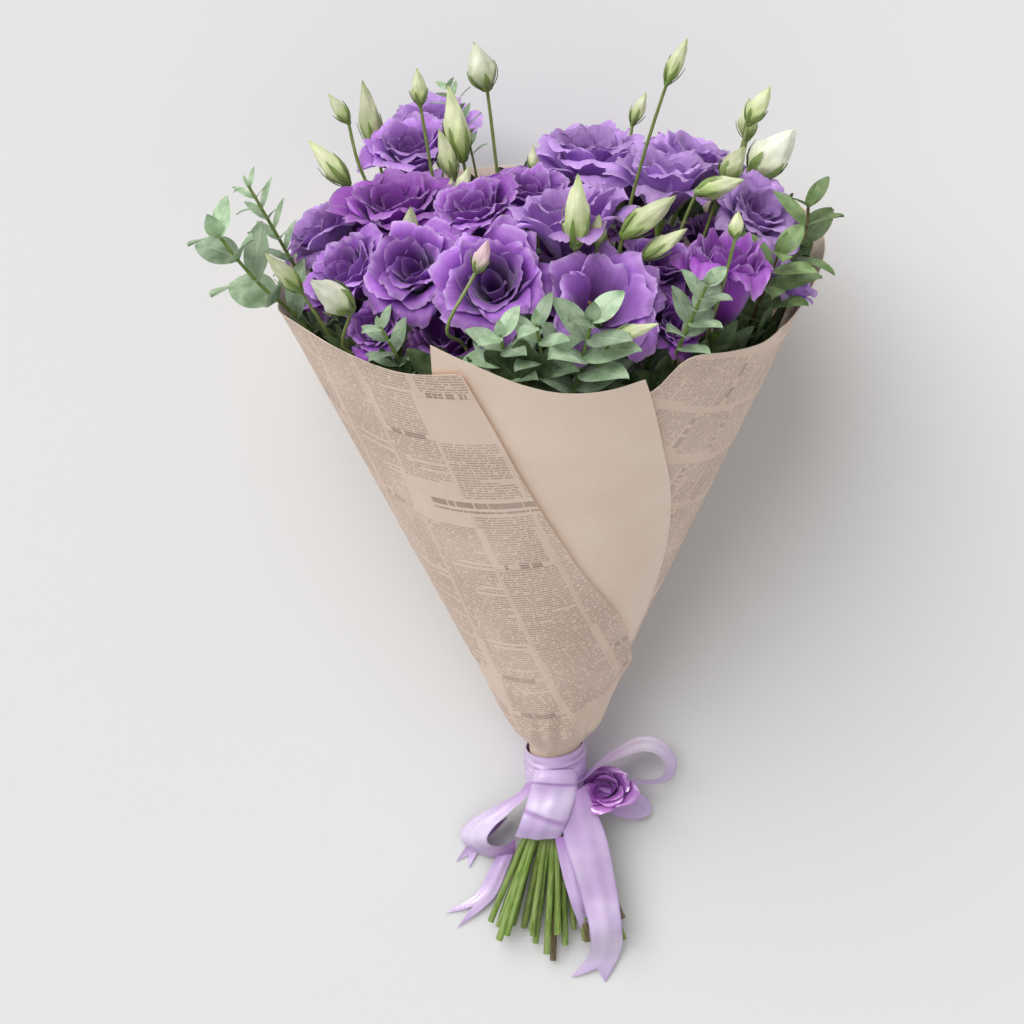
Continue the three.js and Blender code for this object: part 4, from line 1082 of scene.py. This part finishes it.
def add_bud(skin, bud, seed):
    """A bud of furled petals, each edge of which winds round it, in a cup of narrow sepals."""
    v = np.linspace(0, 1, 22)[:, None]
    turn = np.linspace(0, 2 * pi, 30, endpoint=False)[None, :]
    wound = (3 * turn / (2 * pi) - 1.6 * v + chance(seed, 3)) % 1
    fold = 0.2 * (1 - wound) ** 2 * smooth(v / 0.35) + 0.05 * np.sin(6 * turn + 4 * v)
    radius = 0.5 * bud.width * np.interp(v, *BUD_OUTLINE) * (0.9 + fold)
    height = bud.length * (v + 0.03 * np.sin(3 * turn + 9 * v) * v**2)
    bend = 0.05 * bud.length * (chance(seed, 5) - 0.5) * v**2
    points = turned(bud.base, bud.axis, radius, turn, height, bend)
    skin.add(points, (chance(seed, 7), 0, bud.pale), 2, closed=True)
    foot = bud.base - bud.axis * 1.5
    path = [foot + bud.axis * h for h in (0, 1.2, 3, 4.5)]
    cup = 0.26 * bud.width
    skin.add_tube(path, [1.1, 0.8 * cup, cup, 1.1 * cup], 10, (0.5, 0, 0), length=6)
    u, up = grid(5, 10)
    for k in range(5):
        # A sepal lies along the bud's own outline, and its point stands free.
        v = np.linspace(-0.02, pick(0.38, 0.6, seed, k), 10)[:, None]
        angle = radians(72 * k + 360 * chance(seed, 9)) + 0.34 * u * (1 - up**1.5) + 0.03 * u
        stand = 0.35 + 0.35 * (1 - u**2) + 0.7 * up**3
        radius = 0.5 * bud.width * np.interp(v, *BUD_OUTLINE) * 1.06 + stand
        points = turned(bud.base, bud.axis, radius, angle, bud.length * v)
        skin.add(points, (chance(seed, 20 + k), 0, 0), length=12)


def room_at(place, blooms):
    """How far a place is from the nearest flower or the paper."""
    _, _, along, angle, reach = bunch_place(place)
    room = cone_radius(angle, along) - reach - 6
    for bloom in blooms:
        height = min(bloom.depth, max(0, (place - bloom.base).dot(bloom.axis)))
        cup = bloom.radius * (CUP_FOOT + 0.86 * height / bloom.depth)
        room = min(room, (place - bloom.base - bloom.axis * height).length - cup)
    return room


FILLER_PLACES = list(itertools.product(range(-126, 135, 9), range(-99, 136, 9), (346, 360, 374)))


def filler_blooms(count):
    """Smaller flowers deeper in the bunch, each in the widest gap that is left."""
    made = []
    for _ in range(count):
        rooms = [room_at(at(*place), BLOOMS + made) for place in FILLER_PLACES]
        side, front, along = FILLER_PLACES[rooms.index(max(rooms))]
        radius = min(21, max(13, 1.35 * max(rooms)))
        made.append(make_bloom(side, front, along + 6, radius, side / 6, front / 5, 0.55, -0.3, 1.4, 3))
    return made


def path_place(points, share):
    """The place and the direction at a share of the way along a path."""
    place = share * (len(points) - 1)
    i = min(int(place), len(points) - 2)
    return lerp(points[i], points[i + 1], place - i), (points[i + 1] - points[i]).normalized()


def add_side_leaves(skin, path, seed, shares, length, width):
    """Pairs of leaves on a shoot, where they keep clear of the flowers and the paper."""
    for pair, share in enumerate(shares):
        middle, axis = path_place(path, share)
        for k in range(2):
            direction = leafing(axis, 97 * pair + 180 * k + 360 * chance(seed, pair), 0.75, 0.85)
            size = pick(0.75, 1.15, seed + k, pair)
            if has_room(middle, direction, length * size, (0.4, 0.7, 1), 1):
                add_leaf(skin, middle, direction, axis, length * size, width * size, seed + 5 * pair + k)


for number, (blooms, rows) in enumerate(FLOWER_STEMS, 1):
    skin = Skin()
    buds = [make_bud(*row) for row in rows]
    share = FORK_ALONG / FLOWER_HEIGHT
    fork = at(*[share * place for place in stem_targets[number - 1]], FORK_ALONG)
    path = main_stem(number - 1, STEM_RADIUS, fork)
    heading = (fork - path[-2]).normalized()
    add_stalk(skin, path, STEM_RADIUS, number, cut=True)
    flowers = [BLOOMS[k] for k in blooms]
    feet = [flower.base + flower.axis * (3 - CALYX_LENGTH) for flower in flowers]
    targets = [(foot, flower.axis, 5, SHOOT_RADIUS) for foot, flower in zip(feet, flowers)]
    targets += [(bud.base, bud.axis, 8, STALK_RADIUS) for bud in buds]
    for order, (foot, axis, count, radius) in enumerate(targets):
        shoot = route(fork - heading * (2 + SHOOT_STEP * order), heading, foot, axis, count)
        seed = 20 * number + order
        add_stalk(skin, shoot, radius, seed, 0 if order < len(blooms) else 0.25, taper=0.85)
        if order < len(blooms):
            add_side_leaves(skin, shoot, seed, (0.35, 0.55, 0.75), 34, 15)
    for k in blooms:
        add_calyx(skin, BLOOMS[k], 40 + k)
    for order, bud in enumerate(buds):
        add_bud(skin, bud, 10 * number + order)
    skin.piece(f"flower_stem_{number:02d}_shoots", [STEM, LEAF, BUD], "stems", f"flower_stem_{number:02d}")

FILLER_BLOOMS = 12
fillers = Skin()
for number, flower in enumerate(filler_blooms(FILLER_BLOOMS), 1):
    add_flower(fillers, flower, 40 + number)
    foot = flower.base - flower.axis * 6
    start = at(0.6 * flower.side, 0.6 * flower.front, FORK_ALONG)
    path = route(start, (foot - start).normalized(), foot, flower.axis, 6)
    add_stalk(fillers, path, SHOOT_RADIUS, 300 + number, slot=2)
# Their petals are the darker copy of the petal colours, painted shade.
fillers.piece("inner_blooms", [SHADED_INNER_PETAL, HEART, STEM], "petals")

# Leaves inside the paper's rim, each on a twig that runs down the wall, in painted shade
LINING_LEAVES = 46
TWIG_LENGTH = 60
lining = Skin()
for number in range(LINING_LEAVES):
    angle = number * 360 / LINING_LEAVES + 5 * (chance(number, 1) - 0.5)
    along = rim_at(angle) - pick(34, 8, number, 2)
    turn = radians(angle)
    outward = SIDE * sin(turn) + FRONT * cos(turn)
    around = SIDE * cos(turn) - FRONT * sin(turn)
    up_wall = (ALONG + outward * CONE_FLARE * 0.8).normalized()
    away = cone_radius(angle, along) - pick(7, 12, number, 3)
    foot = at(cone_veer(along), 0, along) + outward * away
    low = foot - up_wall * TWIG_LENGTH - outward * 3
    twig = [low, lerp(low, foot, 0.5) - outward, foot]
    add_stalk(lining, twig, TWIG_RADIUS, 500 + number, 0.2, taper=0.7, sides=8)
    for k, lean in enumerate((-0.75, 0.1, 0.8)):
        direction = (up_wall + around * lean - outward * 0.1).normalized()
        length = pick(22, 32, number, 5 + k)
        start = foot - up_wall * 5 * abs(k - 1)
        if has_room(start, direction, length, (0.5, 1), 1):
            add_leaf(lining, start, direction, -outward, length, 0.5 * length, 900 + 3 * number + k)
# A fine sprig among the tall buds
fine_path = [at(-34, -22, 385), at(-37, -24, 405), at(-42, -27, 425), at(-50, -30, 444)]
add_stalk(lining, fine_path, 0.8, 560, 0.3, taper=0.5, sides=8)
for pair in range(9):
    middle, axis = path_place(fine_path, 0.3 + 0.08 * pair)
    for k in range(2):
        direction = leafing(axis, 60 * pair + 180 * k, 0.9, 0.6)
        add_leaf(lining, middle, direction, axis, pick(11, 16, pair, k), 5, 970 + 2 * pair + k, 2)
lining.piece("inner_leaves", [STEM, SHADED_LINING_LEAF, LEAF], "foliage")

# Where the front stems of the bunch end below the tie, from the tie's foot, and how woody each is
FRONT_ENDS = [
    (-45, -97, 0.1), (-35, -105, 0.0), (-24, -103, 0.2), (-17, -112, 0.0), (-10, -118, 0.1), (-6, -125, 0.9),
    (2, -114, 0.0), (16, -111, 0.8), (-30, -92, 0.0), (8, -104, 0.3), (-40, -108, 0.0), (-2, -106, 0.0),
]  # fmt: skip
FRONT_REACH = 12.5
front_stems = Skin()
for number, (x, y, woody) in enumerate(FRONT_ENDS, 1):
    side = 0.24 * x + 1.5
    front = sqrt(FRONT_REACH**2 - side**2) - 2.2 * (number % 3)
    end = UNDER_TIE + Vector((x, y, 5 + 5.5 * (number % 3)))
    path = [*below_tie(end, side, front), at(side, front, 6)]
    add_stalk(front_stems, path, STEM_RADIUS * pick(0.85, 1.15, number, 2), 400 + number, woody, cut=True)
front_stems.piece("front_stems", [STEM], "stems")


def back_from_end(path, distance):
    """The place on a path at a distance back from its end, and the way the path runs there."""
    for i in range(len(path) - 1, 0, -1):
        way = path[i] - path[i - 1]
        if distance <= way.length or i == 1:
            return path[i] - way.normalized() * distance, way.normalized()
        distance -= way.length


for number, (side, front, along, pairs, leaf, leaf_width, step, dark) in enumerate(SPRIGS, 1):
    skin = Skin()
    tip = at(side, front, along)
    share = FORK_ALONG / along
    fork = hold_in_paper(at(side * share, front * share, FORK_ALONG), SHOOT_MARGIN)
    stem = main_stem(len(FLOWER_STEMS) + number - 1, SPRIG_RADIUS, fork)
    heading = (fork - stem[-2]).normalized()
    path = [*stem, *route(fork, heading, tip, heading, 8)[1:]]
    add_stalk(skin, path, SPRIG_RADIUS, 60 + number, 0.85 if dark else 0.15, taper=0.45, cut=True)
    for pair in range(pairs + 3):
        middle, axis = back_from_end(path, 2 + pair * step)
        size = 0.7 + 0.3 * min(1, pair / 2)
        for k in range(2):
            first = 90 * pair + 180 * k + 40 + 20 * chance(number - 1, pair)
            for turn in (0, 30, -30, 60, -60):
                direction = leafing(axis, first + turn, 0.85, 0.6)
                if has_room(middle, direction, leaf * size, (0.35, 0.7, 1), 2):
                    seed = 100 * number + 2 * pair + k
                    add_leaf(skin, middle, direction, axis, leaf * size, 1.12 * leaf_width * size, seed)
                    break
    add_leaf(skin, tip - heading * 2, heading, FRONT, 0.45 * leaf, 0.5 * leaf_width, number)
    leaves = DARK_LEAF if dark else LEAF
    skin.piece(f"leaf_sprig_{number}_leaves", [STEM, leaves], "foliage", f"leaf_sprig_{number}")

# Ribbon

RIBBON_ROWS = 90
RIBBON_COLUMNS = 17
RIBBON_LOWEST = 0.3
EDGE_POINTS = 200
# A layer's step down takes this share of the ribbon's length, and a painted shadow line at the step is this
# much deeper in colour.
STEP_RUN = 0.025
STEP_PAINTED_SHADOW = 0.45


def add_ribbon(
    name, left, right, belly, deep, flat, notch=0, folds=(0, 0), bends=(0, 0), layers=(), light=(0,)
):
    """A length of ribbon between two edges, whose points run from the tie outward, from below it. It bellies
    out, and carries painted shade (deep) and painted highlights (light), by amounts at even steps along it.
    It has folds along it and bends across it, each with a height and a number of waves, and a notch in its
    end. A layer ends in a step down at a place along it, on a slant, by a height."""
    u, v = grid(RIBBON_COLUMNS, RIBBON_ROWS)
    t = v * (1 - notch * (1 - np.abs(u)))
    sides = []
    for edge in (left, right):
        line = curve_through(edge, EDGE_POINTS) + np.array(UNDER_TIE)
        parts = [np.interp(t, np.linspace(0, 1, EDGE_POINTS), line[:, k]) for k in range(3)]
        sides.append(np.stack(parts, axis=-1))
    points = lerp(*sides, ((u + 1) / 2)[..., None])
    normals = np.cross(np.gradient(points, axis=0), np.gradient(points, axis=1))
    normals /= np.maximum(np.linalg.norm(normals, axis=-1, keepdims=True), 1e-9)
    folded = folds[0] * np.sin(pi * folds[1] * (u + 0.3 * v)) * (1 - u**2)
    bent = bends[0] * np.sin(2 * pi * bends[1] * v + 0.5 * u)
    lift = even(belly, RIBBON_ROWS)[:, None] * (1 - u**2) + (folded + bent) * np.sin(pi * v)
    # deep is painted shade and light a painted highlight, which the tint carries.
    deep = even(deep, RIBBON_ROWS)[:, None] + 0 * u
    for place, slant, height in layers:
        past = v - place - slant * u
        lift = lift + height * smooth(0.5 - past / STEP_RUN) * (1 - u**4)
        # A painted shadow line just below each step.
        deep = deep + STEP_PAINTED_SHADOW * smooth(1.5 - np.abs(past - 0.01) / 0.02)
    points = points + normals * lift[..., None]
    points[..., 2] = np.maximum(points[..., 2], RIBBON_LOWEST)
    tint = np.stack([deep, even(light, RIBBON_ROWS)[:, None] + 0 * u, 0 * deep], axis=-1)
    skin = Skin()
    skin.add(points, tint, length=flat[1] / flat[0])
    made = skin.piece(name + "_satin", [RIBBON_SATIN], "ribbon", name)


# In each ribbon, deep is painted shade near the knot and where the ribbon turns under, and light is a painted
# highlight.
# fmt: off
add_ribbon(
    "ribbon_fold",
    left=[
        (-14.5, 5.5, 38), (-15.5, -1, 38.5), (-17, -8, 38.5), (-21, -21, 37), (-25.5, -33, 34.5),
        (-27.6, -39, 30.5), (-26.2, -37.5, 27.5), (-23, -31, 28.5),
    ],
    right=[
        (13, 5, 38.5), (13.2, -1, 39), (12.5, -8, 39.5), (8.5, -21, 39.5), (3.5, -34, 37), (1, -39.8, 33),
        (1.6, -38, 30), (3.6, -32, 30.5),
    ],
    belly=(3.6, 3.2, 2.6, 2.4, 2.2, 1.4, 0.8),
    folds=(0.4, 2.5),
    bends=(0.9, 2.6),
    layers=((0.2, 0.03, 1.5), (0.47, 0.05, 2)),
    deep=(0, 0, 0, 0, 0, 0, 0.6, 0.9),
    light=(0, 0.1, 0, 0.35, 0.1, 0, 0.3, 0, 0),
    flat=(0.028, 0.064),
)
add_ribbon(
    "ribbon_loop_left",
    left=[
        (-17.5, -4, 24), (-24, -12, 22), (-38, -21, 16), (-56, -32, 8), (-62.4, -42.4, 4), (-58, -49.5, 4),
        (-45, -56.5, 5), (-27.8, -54.5, 9),
    ],
    right=[
        (-14.5, -4, 36), (-19, -12, 37), (-29, -21, 35), (-40.5, -32, 31), (-45, -39.7, 27), (-43, -45, 22),
        (-36, -46.5, 19), (-26.8, -42, 21),
    ],
    belly=(0, 1.5, 2, 2.2, 2, 1, 0.5),
    folds=(0.9, 2),
    deep=(0.8, 0.4, 0.05, 0, 0, 0.1, 0.35, 0.8),
    light=(0, 0, 0.1, 0.35, 0.6, 0.1, 0, 0),
    flat=(0.022, 0.095),
)
add_ribbon(
    "ribbon_loop_right",
    left=[
        (16.2, -2.8, 24), (25.2, 5.1, 27), (39.4, 15.4, 27), (53.5, 21, 25), (68, 17, 20), (76.6, 1, 16),
        (72, -9.5, 14), (54, -12, 13), (36, -11, 14),
    ],
    right=[
        (16.5, -3.8, 36), (27.6, 6.5, 43), (41.4, 12, 45), (54, 15, 43), (64, 11, 38), (68.5, 1.5, 33),
        (63.8, -5.1, 29), (50.5, -6, 25), (36, -5, 23),
    ],
    belly=(0, 1.5, 2, 2, 1.6, 1, 0.5),
    folds=(0.6, 2),
    deep=(0.5, 0.2, 0, 0, 0.1, 0.15, 0.1, 0.3),
    light=(0, 0.35, 0.7, 0.9, 0.25, 0, 0.5, 0.7),
    flat=(0.018, 0.12),
)
add_ribbon(
    "ribbon_end_left",
    left=[(-31.5, -32, 2.5), (-38, -38.5, 2.5), (-47, -47, 3), (-58, -64, 2)],
    right=[(-32.6, -30.6, 8), (-41, -36.5, 6), (-53, -43.5, 3.6), (-66, -60, 1)],
    notch=0.12,
    belly=(0, 0.4, 0.8, 0.8),
    deep=(1, 0.8, 0.2, 0),
    flat=(0.01, 0.034),
)
add_ribbon(
    "ribbon_tail_left",
    left=[(-38, -52.5, 8), (-45, -66, 5), (-53.5, -80.5, 3), (-74.5, -93, 1)],
    right=[(-27, -49, 10), (-33, -64, 8), (-42, -82.5, 6), (-67, -103.5, 1)],
    notch=0.2,
    belly=(0, 1.2, 1, 0.5),
    folds=(0.5, 1.5),
    deep=(0.5, 0.1, 0, 0),
    flat=(0.0105, 0.066),
)
add_ribbon(
    "ribbon_tail_right",
    left=[
        (7.5, -9, 40), (3.4, -26, 37), (3.5, -40, 36), (8, -58, 33.5), (14, -82, 30), (18, -104, 25.5),
        (16, -124, 7), (5, -138, 1),
    ],
    right=[
        (17.6, -7, 36), (23.5, -22, 34), (28.6, -36, 32), (32, -52, 30), (36, -78, 27), (38, -101, 23.5),
        (37.6, -121, 7), (27, -142, 1),
    ],
    notch=0.07,
    belly=(1.5, 2, 2, 1.6, 1.4, 1),
    folds=(0.7, 2),
    bends=(1.2, 3),
    deep=(0.6, 0.2, 0.05, 0, 0, 0),
    light=(0, 0, 0.1, 0.1, 0.1, 0.2, 0.5, 0.1),
    flat=(0.024, 0.155),
)
add_ribbon(
    "ribbon_tail_middle",
    left=[(-2.3, -40, 33), (1, -61, 30), (6.5, -84, 27), (14.5, -110, 11)],
    right=[(9, -38, 33), (12, -60, 30.5), (15, -82, 27.5), (20, -104, 12)],
    notch=0.1,
    belly=(0, 0.8, 0.8, 0.5),
    folds=(0.5, 1.5),
    deep=(0.6, 0.15, 0, 0),
    flat=(0.01, 0.082),
)
add_ribbon(
    "ribbon_leaf",
    left=[(17, -17, 27), (34.3, -29, 20), (50, -34.5, 11), (58.5, -33, 7)],
    right=[(22, -8, 27), (41.2, -14.5, 18), (55, -19, 11), (60, -26, 9)],
    belly=(0, 1.5, 1.5, 0.5),
    folds=(0.6, 1.5),
    deep=(0.8, 0.35, 0.05, 0),
    flat=(0.014, 0.045),
)
# fmt: on

# The band: the ribbon goes round the tie twice from the back, and its creases run round with it.
BAND_WIDTH = 26
BAND_CREASE = 1.6
BAND_RIM = 3.5
band = Skin()
turn = pi + np.linspace(0, 4 * pi, 161)[:, None]
width = np.linspace(0, 1, 25)[None, :]
wound = (turn - pi) / (4 * pi)
along = lerp(BAND_FOOT, BAND_TOP - BAND_WIDTH, wound) + BAND_WIDTH * width + 1.2 * np.sin(turn + 0.6)
along = np.clip(along, BAND_FOOT, BAND_TOP)
crease = np.sin(13 * width + 2.2 * np.sin(turn + 0.4) + 2 * wound) + 0.5 * np.sin(23 * width - 1.7 * turn)
raised = BAND_CREASE * (1 - np.abs(crease)) * smooth(3 * width) * smooth(3 - 3 * width)
radius = BAND_INNER + 0.25 + 0.5 * wound + raised
radius = radius - 0.9 * smooth((along - BAND_TOP + BAND_RIM) / BAND_RIM) + 0.3
band.add(points_at(radius * np.sin(turn), radius * np.cos(turn), along), length=9)
made = band.piece("ribbon_band_satin", [RIBBON_SATIN], "ribbon", "ribbon_band")

# The rosette: rings of ribbon, made as a small flower that is wider than it is long
ROSETTE_WHORLS = [
    (4, 62, 1.0, 0.85, 1.0, 0.5),
    (4, 60, 0.78, 1.0, 0.8, 0.45),
    (3, 74, 0.56, 1.05, 0.5, 0.35),
    (3, 78, 0.34, 1.02, 0.2, 0.2),
]
ROSETTE_STRETCH = (1.12, 0.8, 1)
ROSETTE_LAP = 0.12
ROSETTE_PLACE = (33, -14.5, 21)
ROSETTE_FACES = (-0.22, 0.42, 0.88)
rose = SimpleNamespace(radius=20, depth=14, opening=0.85, turn=10, pale=0)
rose.base = UNDER_TIE + Vector(ROSETTE_PLACE)
rose.axis = Vector(ROSETTE_FACES).normalized()
rosette = Skin()
# Its tint is made as for a flower: a random share per petal turns it toward the deep violet, and a share that
# grows on inner rings turns it toward the darker last violet, a painted shade.
for index, ring in enumerate(ROSETTE_WHORLS):
    add_ring(rosette, rose, ring, index, 77, ROSETTE_LAP)
middle = np.array(rose.base)
for index, (points, *rest) in enumerate(rosette.surfaces):
    rosette.surfaces[index] = (middle + (points - middle) * ROSETTE_STRETCH, *rest)
made = rosette.piece("ribbon_rosette_satin", [ROSETTE_SATIN], "rosette", "ribbon_rosette")

# Stage: a wide floor, with small quads under the part

FLOOR_LINES = [-200, -1, 1, 200]
floor_mesh = bpy.data.meshes.new("floor")
places = [(x, y, 0) for y in FLOOR_LINES for x in FLOOR_LINES]
firsts = [4 * row + column for row in range(3) for column in range(3)]
floor_mesh.from_pydata(places, [], [(i, i + 1, i + 5, i + 4) for i in firsts])
floor_finish = Finish("floor", roughness=0.9, specular_ior_level=0.1)
cloud = floor_finish.cloud(3)
floor_finish.into("Base Color", floor_finish.mix(cloud, (0.745, 0.745, 0.745), (0.76, 0.76, 0.76)))
floor_mesh.materials.append(floor_finish.material)
show("floor", floor_mesh)

KEY_ENERGY = 2.4
KEY_WIDTH = radians(48)
KEY_FROM = (-0.52, 0.82, 1.1)
WORLD_LIGHT = 0.49
# Soft boxes that show in glossy surfaces alone: their places in metres, their sizes and their power
GLOSS_BOXES = [("box_left", (-1.3, 0.5, 1.2), (0.3, 1.4), 30), ("box_top", (0.3, 1.5, 1.0), (1.2, 0.22), 20)]


def show_light(name, data, way):
    """Puts a light into the scene that shines from that way."""
    made = show(name, data)
    made.rotation_mode = "QUATERNION"
    made.rotation_quaternion = Vector(way).to_track_quat("Z", "Y")
    return made


sun = bpy.data.lights.new("key", "SUN")
sun.energy = KEY_ENERGY
sun.angle = KEY_WIDTH
show_light("key", sun, KEY_FROM)
for name, place, size, power in GLOSS_BOXES:
    lamp = bpy.data.lights.new(name, "AREA")
    lamp.shape = "RECTANGLE"
    lamp.size, lamp.size_y = size
    lamp.energy = power
    box = show_light(name, lamp, place)
    box.location = place
    box.visible_diffuse = False
    box.visible_transmission = False

world = bpy.data.worlds.new("studio")
world.use_nodes = True
world.node_tree.nodes["Background"].inputs[0].default_value = (1, 1, 1, 1)
world.node_tree.nodes["Background"].inputs[1].default_value = WORLD_LIGHT
bpy.context.scene.world = world
bpy.context.scene.view_settings.view_transform = "Standard"

# The camera looks down on the bunch, tipped a little toward the cut stems and rolled a little.
CAMERA_TILT = radians(5.5)
CAMERA_ROLL = radians(2.15)
CAMERA_AIM = TIE + Vector((-21.556, 172.123, 68.870))
CAMERA_DISTANCE = 1700
LENS_LENGTH = 99.6
SENSOR_WIDTH = 36
back = Vector((0, sin(CAMERA_TILT), cos(CAMERA_TILT)))
level_up = Vector((0, cos(CAMERA_TILT), -sin(CAMERA_TILT)))
up = level_up * cos(CAMERA_ROLL) + Vector((1, 0, 0)) * sin(CAMERA_ROLL)
lens = bpy.data.cameras.new("camera")
lens.sensor_width = SENSOR_WIDTH
lens.lens = LENS_LENGTH
camera = show("camera", lens)
frame_axes = Matrix((up.cross(back), up, back)).transposed().to_4x4()
camera.matrix_world = Matrix.Translation((CAMERA_AIM + back * CAMERA_DISTANCE) * MM) @ frame_axes
bpy.context.scene.camera = camera
